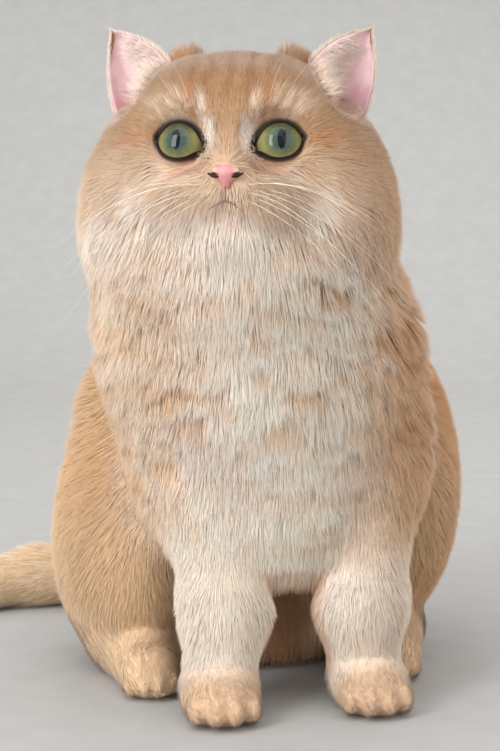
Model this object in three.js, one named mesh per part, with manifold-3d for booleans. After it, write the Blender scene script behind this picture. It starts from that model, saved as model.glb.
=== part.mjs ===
import * as THREE from 'three';
import { mergeVertices } from 'three/addons/utils/BufferGeometryUtils.js';
import Module from 'manifold-3d';

const wasm = await Module();
wasm.setup();

// A golden cat that sits upright and looks up past the viewer, at life size.
// Millimetres, +Z up. The cat looks along -Y, so its own left side is +X.

// Stance: the body turns a little to one side, the head a little to the other and up
const BODY_MIDDLE = [12, 0, 0];
const BODY_YAW = 8.6;
const HEAD_MIDDLE = [-6, -72, 298];
const HEAD_YAW = -5;
const HEAD_PITCH = 8;
const FOOTPRINT_MIDDLE = [-54, 37];
const GAP = 0.3;

// Forms of the body, in the body's own axes: a ball has a place and three half sizes,
// a limb has two ends with a radius each
const TRUNK = [
  { at: [0, 78, 82], size: [104, 84, 92] },
  { from: [0, 66, 122], to: [0, -20, 184], radii: [90, 80] },
  { at: [-10, -44, 200], size: [84, 64, 66] },
  { at: [-2, -54, 138], size: [60, 48, 74] },
  { at: [0, 32, 44], size: [64, 44, 46] },
];
const FLANK = { at: [41, 66, 141], size: [73, 68, 77] };
const SHOULDER = { at: [46, -34, 142], size: [44, 44, 62] };
const THIGH = {
  left: { at: [78, 48, 108], size: [48, 74, 90] },
  right: { at: [-78, 42, 76], size: [50, 76, 80] },
};
const HIND_FOOT = {
  left: { from: [76, 24, 20], to: [69, -18, 14], radii: [25, 19] },
  right: { from: [-80, 20, 20], to: [-75, -34, 14], radii: [25, 19] },
};
const FORE_LEG_MIDDLE = 2;
const UPPER_ARM = { from: [42, -52, 128], to: [38, -68, 60], radii: [34, 26] };
const FOREARM = { from: [38, -68, 60], to: [37, -73, 22], radii: [26, 21.5] };
const PAW = { at: [38, -84, 12], size: [23, 28, 18] };
const PAW_STEP = { left: [3, 3], right: [6, -5] };
const FORE_TOES = { across: [-15, -5, 5, 15], forward: [17, 23, 23, 17], height: 10, radius: 9 };
const HIND_TOES = { across: [-12, -4, 4, 12], forward: [8, 13, 13, 8], height: 9, radius: 8 };
const TAIL = [
  { at: [-4, 140, 30], radius: 34 },
  { at: [-40, 176, 26], radius: 29 },
  { at: [-95, 196, 24], radius: 25 },
  { at: [-150, 190, 21], radius: 22 },
  { at: [-196, 166, 18], radius: 19 },
  { at: [-224, 138, 15], radius: 15 },
];
const NECK = { from: [-6, -56, 256], to: [-3, -38, 212], radii: [86, 84] };

// Forms of the head, in the head's own axes, those off the middle once for each side
const SKULL = { at: [0, 8, 4], size: [74, 66, 61] };
const CHEEK = { at: [42, 2, -22], size: [42.5, 50, 44] };
const BROW = { at: [0, -26, 14], size: [52, 34, 42] };
const EAR_TUFT = { at: [27, 0, 57], size: [13, 15, 11] };
const BRIDGE = { from: [0, -44, 2], to: [0, -60, -11], radii: [17, 11] };
const WHISKER_PAD = { at: [15, -50, -25], size: [22, 23, 15] };
const CHIN = { at: [0, -48, -40], size: [17, 17, 11] };

// Features of the face
const EYE = { at: [24.6, -47, 4], radius: 13, turn: 10, lift: 4, opening: [10.8, 9], tilt: 8 };
const LID_THICKNESS = 1.8;
const NOSE = {
  middle: [0, -70, -15.5],
  wings: { from: [-4, -69.5, -14.4], to: [4, -69.5, -14.4], radii: [3.2, 3.2] },
  tip: { from: [0, -71, -14.5], to: [0, -68, -20.5], radii: [3.4, 1.7] },
};
const NOSTRIL = { from: [3.3, -75.5, -16.4], to: [9, -69, -15.2], radii: [0.7, 1] };
const MOUTH = { top: -21, middle: -29.5, corner: [12, -34], groove: 0.9, lip: 2.2 };

// The cup of an ear, in the head's axes: its two feet, its tip, its bend and its wall
const EAR = {
  inner: [39, -4, 57],
  outer: [68, 2, 30],
  tip: [71, 0, 76],
  cup: 15,
  bulge: 4,
  wall: 2.4,
  across: 8,
  along: 7,
};

// The long hair of the bib: tiers of flat locks that hang down the throat and chest, in the
// body's axes, over a core that lies deeper than the outline inside the bib's zone
const BIB_ZONE = { at: [0, -118, 172], size: [100, 62, 84], fade: 16, inset: 9 };
const BIB = { top: 240, bottom: 122, tiers: 7, perTier: 8, spread: 62, middle: [0, -40], seed: 7 };
const LOCK = { length: 44, width: 27, thickness: 6, sink: 5 };

// Where the body is parted, in the body's axes, and the slant of the cuts at the neck
const HEAD_CUT = { at: [0, 0, -50], slant: 20 };
const NECK_CUT = { at: [0, 0, -88], slant: 20 };
const CHEST_CUT = { back: 6, bottom: 58 };
const BELLY_FRONT = -12;
const THIGH_CUT = { from: 60, middle: [48, 88], half: [76, 96] };
const FORE_CUT = { middle: [41, -76], half: [38, 60], top: 106 };
const FORE_FOOT_CUT = 31;
const HIND_FOOT_CUT = { near: 50, far: 130, ahead: 25, back: 14, top: 38 };
const TAIL_CUTS = [{ point: 1, part: 0.3 }, { point: 2, part: 0.5 }, { point: 3, part: 0.7 }];

const SIDES = { left: 1, right: -1 };

// A frame turned about +Z and then tipped up, as a matrix from its own axes to the cat's
function turned(middle, yawDegrees, pitchDegrees = 0) {
  const yaw = THREE.MathUtils.degToRad(yawDegrees);
  const pitch = THREE.MathUtils.degToRad(pitchDegrees);
  const right = new THREE.Vector3(Math.cos(yaw), Math.sin(yaw), 0);
  const level = new THREE.Vector3(-Math.sin(yaw), Math.cos(yaw), 0);
  const back = level.multiplyScalar(Math.cos(pitch)).setZ(-Math.sin(pitch));
  const up = new THREE.Vector3().crossVectors(right, back);
  return new THREE.Matrix4().makeBasis(right, back, up).setPosition(...middle);
}

const BODY = turned(BODY_MIDDLE, BODY_YAW);
const HEAD = turned(HEAD_MIDDLE, HEAD_YAW, HEAD_PITCH);
const TO_BODY = BODY.clone().invert();
const TO_HEAD = HEAD.clone().invert();
const vector = (list) => new THREE.Vector3(...list);

// Distance to a ball or a limb, below nought inside it
function distance(point, form) {
  if (form.at) {
    const q = [point.x - form.at[0], point.y - form.at[1], point.z - form.at[2]];
    const near = Math.hypot(...q.map((value, i) => value / form.size[i]));
    const slope = Math.hypot(...q.map((value, i) => value / form.size[i] ** 2));
    return (near * (near - 1)) / (slope + 1e-9);
  }
  const start = vector(form.from);
  const along = vector(form.to).sub(start);
  const offset = point.clone().sub(start);
  const part = THREE.MathUtils.clamp(offset.dot(along) / along.lengthSq(), 0, 1);
  const radius = THREE.MathUtils.lerp(form.radii[0], form.radii[1], part);
  return offset.addScaledVector(along, -part).length() - radius;
}

// Two distances joined by a fillet of the given width
function blend(a, b, width) {
  const near = Math.max(width - Math.abs(a - b), 0) / width;
  return Math.min(a, b) - (near * near * width) / 4;
}

const blended = (point, forms, width) =>
  forms.map((form) => distance(point, form)).reduce((a, b) => blend(a, b, width));

const folded = (point) => new THREE.Vector3(Math.abs(point.x), point.y, point.z);

function mirrored(form, side) {
  const flip = (list) => [list[0] * side, list[1], list[2]];
  const moved = Object.fromEntries(
    ['at', 'from', 'to'].filter((key) => form[key]).map((key) => [key, flip(form[key])]),
  );
  return { ...form, ...moved };
}

const shifted = (form, by) => {
  const move = (list) => list.map((value, i) => value + by[i]);
  const moved = Object.fromEntries(
    ['at', 'from', 'to'].filter((key) => form[key]).map((key) => [key, move(form[key])]),
  );
  return { ...form, ...moved };
};

function toes(row, middle) {
  return row.across.map((x, i) => ({
    at: [middle[0] + x, middle[1] - row.forward[i], row.height],
    size: [row.radius * 0.72, row.radius * 1.15, row.radius],
  }));
}

// The forms of one foreleg and one hind foot
function foreLeg(side) {
  const [out, back] = PAW_STEP[side];
  const home = [FORE_LEG_MIDDLE, 0, 0];
  const step = [FORE_LEG_MIDDLE + out * SIDES[side], back, 0];
  const [upper, lower] = [UPPER_ARM, FOREARM].map((form) => shifted(mirrored(form, SIDES[side]), home));
  const wrist = shifted(mirrored(FOREARM, SIDES[side]), step).to;
  const paw = shifted(mirrored(PAW, SIDES[side]), step);
  return { arm: [upper, { ...lower, to: wrist }], paw, toes: toes(FORE_TOES, paw.at) };
}

const FORE_LEGS = { left: foreLeg('left'), right: foreLeg('right') };
const HIND_TOE_ROWS = {
  left: toes(HIND_TOES, HIND_FOOT.left.to),
  right: toes(HIND_TOES, HIND_FOOT.right.to),
};

function trunk(b) {
  const m = folded(b);
  const whole = blend(blended(b, TRUNK, 34), distance(m, FLANK), 34);
  return blend(whole, distance(m, SHOULDER), 24);
}

function hindLegs(b) {
  const leg = (side) => {
    const foot = blend(distance(b, HIND_FOOT[side]), blended(b, HIND_TOE_ROWS[side], 3), 5);
    return blend(distance(b, THIGH[side]), foot, 16);
  };
  return Math.min(leg('left'), leg('right'));
}

function foreLegs(b) {
  const leg = ({ arm, paw, toes: row }) => {
    const foot = blend(distance(b, paw), blended(b, row, 3), 5);
    return blend(blended(b, arm, 12), foot, 10);
  };
  return Math.min(leg(FORE_LEGS.left), leg(FORE_LEGS.right));
}

function tail(p) {
  const lengths = TAIL.slice(1).map((end, i) => ({
    from: TAIL[i].at,
    to: end.at,
    radii: [TAIL[i].radius, end.radius],
  }));
  return blended(p, lengths, 10);
}

function head(h) {
  const m = folded(h);
  const skull = blend(blend(distance(h, SKULL), distance(m, CHEEK), 22), distance(h, BROW), 22);
  const bridged = blend(blend(skull, distance(m, EAR_TUFT), 10), distance(h, BRIDGE), 14);
  return blend(blend(bridged, distance(m, WHISKER_PAD), 10), distance(h, CHIN), 9);
}

// The whole cat without its ears, as one distance in the cat's axes
function cat(p) {
  const b = p.clone().applyMatrix4(TO_BODY);
  const legs = blend(blend(trunk(b), hindLegs(b), 18), foreLegs(b), 14);
  const upper = blend(blend(legs, distance(p, NECK), 30), head(p.clone().applyMatrix4(TO_HEAD)), 16);
  return blend(upper, tail(p), 14);
}

// The same without the depth of the bib's locks
function core(p) {
  const depth = -distance(p.clone().applyMatrix4(TO_BODY), BIB_ZONE) / BIB_ZONE.fade;
  return cat(p) + BIB_ZONE.inset * THREE.MathUtils.smoothstep(depth, 0, 1);
}

// A closed body from points and faces, turned to face out
function closed(points, faces) {
  const volume = faces.reduce(
    (sum, [a, b, c]) => sum + points[a].dot(new THREE.Vector3().crossVectors(points[b], points[c])),
    0,
  );
  const outward = volume < 0 ? faces.map(([a, b, c]) => [a, c, b]) : faces;
  return new wasm.Manifold(
    new wasm.Mesh({
      numProp: 3,
      vertProperties: new Float32Array(points.flatMap((point) => point.toArray())),
      triVerts: new Uint32Array(outward.flat()),
    }),
  );
}

// A closed body over a row of rings, with a single point at each end
function lofted(first, rings, last) {
  const count = rings[0].length;
  const points = [first, ...rings.flat(), last];
  const at = (ring, side) => 1 + ring * count + (side % count);
  const faces = [];
  for (let side = 0; side < count; side += 1) {
    faces.push([0, at(0, side), at(0, side + 1)]);
    for (let ring = 0; ring < rings.length - 1; ring += 1) {
      faces.push([at(ring, side), at(ring + 1, side), at(ring + 1, side + 1)]);
      faces.push([at(ring, side), at(ring + 1, side + 1), at(ring, side + 1)]);
    }
    faces.push([points.length - 1, at(rings.length - 1, side + 1), at(rings.length - 1, side)]);
  }
  return closed(points, faces);
}

// The first place along a ray where a field leaves the body
function exit(field, origin, direction, reach) {
  const stride = 3;
  let inside = 0;
  let outside = stride;
  const at = (length) => field(origin.clone().addScaledVector(direction, length));
  while (outside < reach && at(outside) < 0) {
    inside = outside;
    outside += stride;
  }
  if (outside >= reach) {
    return origin.clone().addScaledVector(direction, reach);
  }
  for (let i = 0; i < 14; i += 1) {
    const middle = (inside + outside) / 2;
    if (at(middle) < 0) {
      inside = middle;
    } else {
      outside = middle;
    }
  }
  return origin.clone().addScaledVector(direction, outside);
}

// The skin of a field seen from a straight core: rays leave it square, and fan out round its ends
function wrapped(field, { from, to, axis, sides, cap, middle = 0, reach, crowd = 1 }) {
  const start = vector(from);
  const end = to ? vector(to) : start;
  const along = axis ? vector(axis).normalize() : end.clone().sub(start).normalize();
  const aside = new THREE.Vector3(1, 0, 0);
  const across = aside.addScaledVector(along, -aside.dot(along)).normalize();
  const third = new THREE.Vector3().crossVectors(along, across);
  const ring = (origin, angle) =>
    Array.from({ length: sides }, (_, i) => {
      const turn = ((i + 0.5) / sides) * 2 * Math.PI;
      const direction = across.clone().multiplyScalar(Math.cos(turn) * Math.sin(angle));
      direction.addScaledVector(third, Math.sin(turn) * Math.sin(angle));
      direction.addScaledVector(along, -Math.cos(angle));
      return exit(field, origin, direction, reach);
    });
  const rings = [];
  for (let i = 1; i <= cap; i += 1) {
    rings.push(ring(start, (Math.PI / 2) * (i / cap) ** crowd));
  }
  for (let i = 1; i <= middle; i += 1) {
    rings.push(ring(start.clone().lerp(end, i / (middle + 1)), Math.PI / 2));
  }
  const closing = to ? 0 : 1;
  for (let i = closing; i < cap; i += 1) {
    rings.push(ring(end, Math.PI / 2 + (Math.PI / 2) * (i / cap)));
  }
  const first = exit(field, start, along.clone().negate(), reach);
  return lofted(first, rings, exit(field, end, along, reach));
}

// Solids made from the library's own shapes, placed by a matrix
function placed(geometry, matrix) {
  const bare = geometry.clone().applyMatrix4(matrix);
  bare.deleteAttribute('normal');
  bare.deleteAttribute('uv');
  const merged = mergeVertices(bare, 1e-4);
  return new wasm.Manifold(
    new wasm.Mesh({
      numProp: 3,
      vertProperties: new Float32Array(merged.attributes.position.array),
      triVerts: new Uint32Array(merged.index.array),
    }),
  );
}

function block(low, high, matrix) {
  const size = high.map((value, i) => value - low[i]);
  const middle = high.map((value, i) => (value + low[i]) / 2);
  const place = matrix.clone().multiply(new THREE.Matrix4().makeTranslation(...middle));
  return placed(new THREE.BoxGeometry(...size), place);
}

const FAR = 900;
const AXES = new THREE.Matrix4();
const ABOVE_FLOOR = block([-FAR, -FAR, 0], [FAR, FAR, FAR], AXES);

// Everything on the upper side of a slanted cut across the neck
function above(cut, lift) {
  const slant = new THREE.Matrix4().makeRotationX(THREE.MathUtils.degToRad(cut.slant));
  const plane = HEAD.clone().multiply(new THREE.Matrix4().makeTranslation(...cut.at)).multiply(slant);
  return block([-FAR, -FAR, lift], [FAR, FAR, FAR], plane);
}

// A thigh's share of the body: an oval outline that runs in from the side
function thighShare(side, grow) {
  const { from, middle, half } = THIGH_CUT;
  const depth = 120 + grow;
  const place = new THREE.Matrix4().makeTranslation((from - grow + depth / 2) * SIDES[side], ...middle);
  const scale = new THREE.Matrix4().makeScale(1, half[0] + grow, half[1] + grow);
  const lying = new THREE.Matrix4().makeRotationZ(Math.PI / 2);
  const oval = BODY.clone().multiply(place).multiply(scale).multiply(lying);
  return placed(new THREE.CylinderGeometry(1, 1, depth, 36), oval);
}

const chestShare = (grow) =>
  block([-FAR, -FAR, CHEST_CUT.bottom - grow], [FAR, CHEST_CUT.back + grow, FAR], BODY);

// A foreleg's share: an upright oval up to the elbow
function foreShare(side, grow) {
  const { middle, half, top } = FORE_CUT;
  const depth = 2 * top;
  const x = FORE_LEG_MIDDLE + middle[0] * SIDES[side];
  const place = new THREE.Matrix4().makeTranslation(x, middle[1], top + grow - depth / 2);
  const scale = new THREE.Matrix4().makeScale(half[0] + grow, half[1] + grow, 1);
  const upright = new THREE.Matrix4().makeRotationX(Math.PI / 2);
  const oval = BODY.clone().multiply(place).multiply(scale).multiply(upright);
  return placed(new THREE.CylinderGeometry(1, 1, depth, 28), oval);
}

// A hind foot's share: a block from ahead of the toes to the heel
function hindFootShare(side, grow) {
  const { near, far, ahead, back, top } = HIND_FOOT_CUT;
  const across = [(near - grow) * SIDES[side], (far + grow) * SIDES[side]];
  const front = HIND_FOOT[side].to[1] - ahead - grow;
  return block([Math.min(...across), front, -top], [Math.max(...across), back + grow, top + grow], BODY);
}

// Everything past a cut across the tail, towards its tip
function tailPast({ point, part }, grow) {
  const [before, here, next] = TAIL.slice(point - 1, point + 2).map(({ at }) => vector(at));
  const along = next.clone().sub(before).setZ(0).normalize();
  const across = new THREE.Vector3().crossVectors(new THREE.Vector3(0, 0, 1), along);
  const frame = new THREE.Matrix4().makeBasis(along, across, new THREE.Vector3(0, 0, 1));
  frame.setPosition(here.lerp(next, part));
  return block([-grow, -70, -50], [400, 140, 100], frame);
}

// The part of a solid that stays when loose scraps and sealed hollows are dropped
function largest(solid) {
  return solid.decompose().reduce((a, b) => (b.volume() > a.volume() ? b : a));
}

const joined = (solids) => solids.reduce((whole, solid) => whole.add(solid));
const cutBy = (solid, cutters) => cutters.reduce((rest, cutter) => rest.subtract(cutter), solid);

// The head, from a skin crowded at the nose
const headField = (h) => cat(h.clone().applyMatrix4(HEAD));

function inHead(solid) {
  const mesh = solid.getMesh();
  const points = [];
  for (let i = 0; i < mesh.vertProperties.length; i += mesh.numProp) {
    points.push(new THREE.Vector3(...mesh.vertProperties.slice(i, i + 3)).applyMatrix4(HEAD));
  }
  const faces = [];
  for (let i = 0; i < mesh.triVerts.length; i += 3) {
    faces.push([...mesh.triVerts.slice(i, i + 3)]);
  }
  return closed(points, faces);
}

function headSkin(level) {
  const field = (h) => headField(h) - level;
  return wrapped(field, { from: [0, 0, -6], axis: [0, 1, 0], sides: 36, cap: 11, reach: 120, crowd: 1.3 });
}

// A frame at an eye that looks along its -Y
function gaze(side) {
  const turn = new THREE.Matrix4().makeRotationZ(THREE.MathUtils.degToRad(EYE.turn * SIDES[side]));
  const lift = new THREE.Matrix4().makeRotationX(THREE.MathUtils.degToRad(-EYE.lift));
  const tilt = new THREE.Matrix4().makeRotationY(THREE.MathUtils.degToRad(-EYE.tilt * SIDES[side]));
  const place = new THREE.Matrix4().makeTranslation(EYE.at[0] * SIDES[side], EYE.at[1], EYE.at[2]);
  return place.multiply(turn).multiply(lift).multiply(tilt);
}

function eyeBall(side, radius, sides, rings) {
  const scale = new THREE.Matrix4().makeScale(radius, radius, radius);
  const place = gaze(side).multiply(new THREE.Matrix4().makeRotationX(Math.PI / 2)).multiply(scale);
  return placed(new THREE.SphereGeometry(1, sides, rings), place);
}

function eyeOpening(side) {
  const depth = 40;
  const ahead = new THREE.Matrix4().makeTranslation(0, -depth / 2, 0);
  const oval = new THREE.Matrix4().makeScale(EYE.opening[0], 1, EYE.opening[1]);
  return placed(new THREE.CylinderGeometry(1, 1, depth, 20), gaze(side).multiply(ahead).multiply(oval));
}

// A round strand along a curve, thinner to its ends
function strand(points, radius, sides, steps) {
  const curve = new THREE.CatmullRomCurve3(points);
  const ring = (part) => {
    const middle = curve.getPoint(part);
    const along = curve.getTangent(part);
    const across = new THREE.Vector3(0, 1, 0).addScaledVector(along, -along.y).normalize();
    const third = new THREE.Vector3().crossVectors(along, across);
    const size = radius * Math.sqrt(Math.max(1 - (2 * part - 1) ** 6, 0.2));
    return Array.from({ length: sides }, (_, i) => {
      const turn = (i / sides) * 2 * Math.PI;
      const out = middle.clone().addScaledVector(across, Math.cos(turn) * size);
      return out.addScaledVector(third, Math.sin(turn) * size);
    });
  };
  const rings = Array.from({ length: steps + 1 }, (_, i) => ring(i / steps));
  return lofted(curve.getPoint(0), rings, curve.getPoint(1));
}

// A point of the face at a place across and up, found from in front
function onFace(x, z) {
  const start = new THREE.Vector3(x, -30, z);
  return exit(headField, start, new THREE.Vector3(0, -1, 0), 80);
}

function mouthLine(radius, side) {
  const [x, z] = MOUTH.corner;
  const place = (part) => onFace(side * x * part, THREE.MathUtils.lerp(MOUTH.middle, z, part ** 1.4));
  return strand([0, 0.25, 0.5, 0.75, 1].map(place), radius, 5, 6);
}

function philtrum(radius) {
  const heights = [0, 0.35, 0.7, 1].map((part) => THREE.MathUtils.lerp(MOUTH.top, MOUTH.middle - 1, part));
  return strand(heights.map((z) => onFace(0, z)), radius, 5, 4);
}

function nose(grow) {
  const field = (h) => blend(distance(h, NOSE.wings), distance(h, NOSE.tip), 3) - grow;
  return wrapped(field, { from: NOSE.middle, axis: [0, 1, 0], sides: 16, cap: 4, reach: 30 });
}

function nostril(side) {
  const form = mirrored(NOSTRIL, side);
  const field = (h) => distance(h, form);
  const line = { from: form.from, to: form.to, sides: 6, cap: 2, middle: 0, reach: 6 };
  return wrapped(field, line);
}

// The cup of an ear: a bent triangle of even wall, from below the scalp to its tip
function earPoint(side, u, v, layer) {
  const foot = vector(EAR.inner).lerp(vector(EAR.outer), (u + 1) / 2);
  const tip = vector(EAR.tip);
  const edge = EAR.bulge * Math.sin(Math.PI * Math.min(v, 1)) * u;
  const point = foot.lerp(tip, v);
  const slope = vector(EAR.outer).sub(vector(EAR.inner)).normalize();
  point.addScaledVector(slope, edge);
  const depth = EAR.cup * (1 - u * u) * Math.sqrt(Math.max(1 - v, 0));
  const wall = EAR.wall * (1 - 0.5 * v) * layer;
  point.y += depth + wall;
  point.x -= wall * 0.3;
  return new THREE.Vector3(point.x * side, point.y, point.z);
}

function ear(side) {
  const { across, along } = EAR;
  const ring = (v) => {
    const front = Array.from({ length: across + 1 }, (_, i) => earPoint(side, (2 * i) / across - 1, v, 0));
    const back = Array.from({ length: across + 1 }, (_, i) => earPoint(side, 1 - (2 * i) / across, v, 1));
    return [...front, ...back];
  };
  const rings = Array.from({ length: along + 1 }, (_, i) => ring(-0.35 + (1.33 * i) / along));
  const first = earPoint(side, 0, -0.35, 0.5);
  return lofted(first, rings, earPoint(side, 0, 1, 0.5));
}

function makeHead() {
  const lids = ['left', 'right'].map((side) => eyeBall(side, EYE.radius + LID_THICKNESS, 18, 10));
  const sockets = ['left', 'right'].map((side) => eyeBall(side, EYE.radius + GAP, 18, 12));
  const openings = ['left', 'right'].map(eyeOpening);
  const lips = [mouthLine(MOUTH.lip, 1), mouthLine(MOUTH.lip, -1)];
  const grooves = [mouthLine(MOUTH.groove, 1), mouthLine(MOUTH.groove, -1), philtrum(MOUTH.groove)];
  const full = joined([headSkin(0), ...lids, ...lips]);
  const face = cutBy(full, [...sockets, ...openings, ...grooves, nose(GAP)]);
  return largest(inHead(face).intersect(above(HEAD_CUT, GAP / 2)));
}

// The body's own pieces
const inBody = (line) => ({
  ...line,
  from: vector(line.from).applyMatrix4(BODY).toArray(),
  to: line.to && vector(line.to).applyMatrix4(BODY).toArray(),
});

// Even draws between -1 and 1 that are the same each time
function drawer(seed) {
  let state = seed;
  return () => {
    state = (state * 16807) % 2147483647;
    return (2 * state) / 2147483647 - 1;
  };
}

// One flat lock from its root, sunk in the core, to its tip at the coat's outline
function lock(height, angle, size) {
  const turn = THREE.MathUtils.degToRad(angle);
  const out = new THREE.Vector3(Math.sin(turn), -Math.cos(turn), 0).transformDirection(BODY);
  const lift = (drop, part, sink = 0) => {
    const start = vector([...BIB.middle, height - drop * LOCK.length * size]).applyMatrix4(BODY);
    const inner = exit(core, start, out, 170);
    return inner.lerp(exit(cat, start, out, 170), part).addScaledVector(out, -sink);
  };
  const across = new THREE.Vector3(0, 0, 1).cross(out).multiplyScalar((LOCK.width * size) / 2);
  const thick = out.clone().multiplyScalar((LOCK.thickness * size) / 2);
  const ring = (middle, wide, deep) => [
    middle.clone().addScaledVector(across, wide),
    middle.clone().addScaledVector(thick, deep),
    middle.clone().addScaledVector(across, -wide),
    middle.clone().addScaledVector(thick, -deep),
  ];
  const rings = [
    ring(lift(0, 0, LOCK.sink), 0.7, 0.9),
    ring(lift(0.36, 0.35), 1, 1.1),
    ring(lift(0.72, 0.8), 0.66, 0.8),
  ];
  return lofted(lift(-0.05, 0, LOCK.sink + 2), rings, lift(1, 1.05));
}

function bibLocks() {
  const draw = drawer(BIB.seed);
  const locks = [];
  for (let tier = 0; tier < BIB.tiers; tier += 1) {
    const height = THREE.MathUtils.lerp(BIB.top, BIB.bottom, tier / (BIB.tiers - 1));
    for (let i = 0; i < BIB.perTier; i += 1) {
      const place = (i + (tier % 2) / 2) / (BIB.perTier - 0.5);
      const angle = BIB.spread * (2 * place - 1) + 2 * draw();
      locks.push(lock(height + 3 * draw(), angle, 1 + 0.15 * draw()));
    }
  }
  return locks;
}

const BIB_LOCKS = bibLocks();

function makeChest() {
  const line = { from: [0, -24, 150], to: [0, -30, 190], sides: 30, cap: 7, middle: 2, reach: 240 };
  const limbs = ['left', 'right'].flatMap((side) => [thighShare(side, GAP), foreShare(side, GAP)]);
  const full = joined([wrapped(core, inBody(line)), ...BIB_LOCKS]).intersect(chestShare(0));
  return largest(cutBy(full, [above(NECK_CUT, -GAP / 2), ...limbs]));
}

function makeTorso() {
  const line = { from: [0, 76, 74], to: [0, 40, 120], sides: 36, cap: 8, middle: 2, reach: 240 };
  const legs = ['left', 'right'].flatMap((side) => [thighShare(side, GAP), hindFootShare(side, GAP)]);
  const front = [chestShare(GAP), block([-FAR, -FAR, -FAR], [FAR, BELLY_FRONT, FAR], BODY)];
  const full = wrapped(cat, inBody(line)).intersect(ABOVE_FLOOR);
  return largest(cutBy(full, [above(NECK_CUT, -GAP / 2), tailPast(TAIL_CUTS[0], GAP), ...front, ...legs]));
}

function makeNeck() {
  const line = { from: [-4, -62, 262], axis: [0, 0, 1], sides: 32, cap: 7, reach: 150 };
  const upper = joined([wrapped(core, line), ...BIB_LOCKS]).intersect(above(NECK_CUT, GAP / 2));
  return largest(upper.subtract(above(HEAD_CUT, -GAP / 2)));
}

function makeThigh(side) {
  const x = 74 * SIDES[side];
  const line = { from: [x, 20, THIGH[side].at[2]], to: [x, 72, THIGH[side].at[2]], reach: 150 };
  const full = wrapped(cat, inBody({ ...line, sides: 24, cap: 6, middle: 2 })).intersect(ABOVE_FLOOR);
  return largest(full.intersect(thighShare(side, 0)).subtract(hindFootShare(side, GAP)));
}

function makeHindFoot(side) {
  const foot = HIND_FOOT[side];
  const line = { from: foot.from, to: foot.to, sides: 20, cap: 6, middle: 2, reach: 70 };
  const full = wrapped(cat, inBody(line)).intersect(ABOVE_FLOOR);
  return largest(full.intersect(hindFootShare(side, 0)));
}

function makeForeLeg(side) {
  const [arm] = FORE_LEGS[side].arm;
  const line = { from: arm.from, to: FORE_LEGS[side].arm[1].to, sides: 20, cap: 5, middle: 6, reach: 90 };
  const foot = block([-FAR, -FAR, -FAR], [FAR, FAR, FORE_FOOT_CUT + GAP], AXES);
  const share = foreShare(side, 0).subtract(foot);
  const full = wrapped(cat, inBody(line)).intersect(share);
  return largest(full.subtract(thighShare(side, GAP)).subtract(hindFootShare(side, GAP)));
}

function makeForeFoot(side) {
  const { paw } = FORE_LEGS[side];
  const [x, y] = paw.at;
  const line = { from: [x, y + 8, 14], to: [x, y - 6, 13], sides: 22, cap: 6, middle: 1, reach: 60 };
  const below = block([-FAR, -FAR, 0], [FAR, FAR, FORE_FOOT_CUT], AXES);
  const full = wrapped(cat, inBody(line)).intersect(foreShare(side, 0)).intersect(below);
  return largest(full.subtract(hindFootShare(side, GAP)));
}

// The tail as one skin along its bent middle line
function tailSkin() {
  const curve = new THREE.CatmullRomCurve3(TAIL.map(({ at }) => vector(at)), false, 'centripetal');
  const up = new THREE.Vector3(0, 0, 1);
  const sides = 16;
  const steps = 16;
  const last = TAIL.length - 1;
  const ring = (part, fan) => {
    const middle = curve.getPoint(part);
    const along = curve.getTangent(part).setZ(0).normalize();
    const across = new THREE.Vector3().crossVectors(up, along);
    return Array.from({ length: sides }, (_, i) => {
      const turn = (i / sides) * 2 * Math.PI;
      const direction = across.clone().multiplyScalar(Math.cos(turn) * Math.cos(fan));
      direction.addScaledVector(up, Math.sin(turn) * Math.cos(fan));
      direction.addScaledVector(along, Math.sin(fan));
      return exit(cat, middle, direction, 60);
    });
  };
  const rings = Array.from({ length: steps + 1 }, (_, i) => ring(0.04 + (0.96 * i) / steps, 0));
  const tip = [0.3, 0.6, 0.85].map((part) => ring(1, (part * Math.PI) / 2));
  const end = vector(TAIL[last].at);
  const ahead = curve.getTangent(1).setZ(0).normalize();
  return lofted(curve.getPoint(0.04), [...rings, ...tip], exit(cat, end, ahead, 60));
}

function tailLengths() {
  const full = tailSkin().intersect(ABOVE_FLOOR);
  const [root, second, third] = TAIL_CUTS;
  const past = full.intersect(tailPast(root, 0));
  return {
    tail_base: largest(past.subtract(tailPast(second, GAP))),
    tail_middle: largest(past.intersect(tailPast(second, 0)).subtract(tailPast(third, GAP))),
    tail_tip: largest(past.intersect(tailPast(third, 0))),
  };
}

// Colours and finish of each node
const COAT = { color: 0xc8a073, roughness: 0.95 };
const CREAM = { color: 0xdcd0c3, roughness: 0.95 };
const FINISH = {
  nose: { color: 0xc8787d, roughness: 0.45 },
  ear: { color: 0xc8a5a8, roughness: 0.8 },
  eye: { color: 0x6f7f52, roughness: 0.1 },
};

function node(name, solid, finish) {
  const { vertProperties, triVerts } = solid.getMesh();
  const geometry = new THREE.BufferGeometry();
  geometry.setAttribute('position', new THREE.BufferAttribute(vertProperties, 3));
  geometry.setIndex(new THREE.BufferAttribute(triVerts, 1));
  geometry.computeVertexNormals();
  const mesh = new THREE.Mesh(geometry, new THREE.MeshStandardMaterial({ ...finish, metalness: 0 }));
  mesh.name = name;
  return mesh;
}

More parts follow.
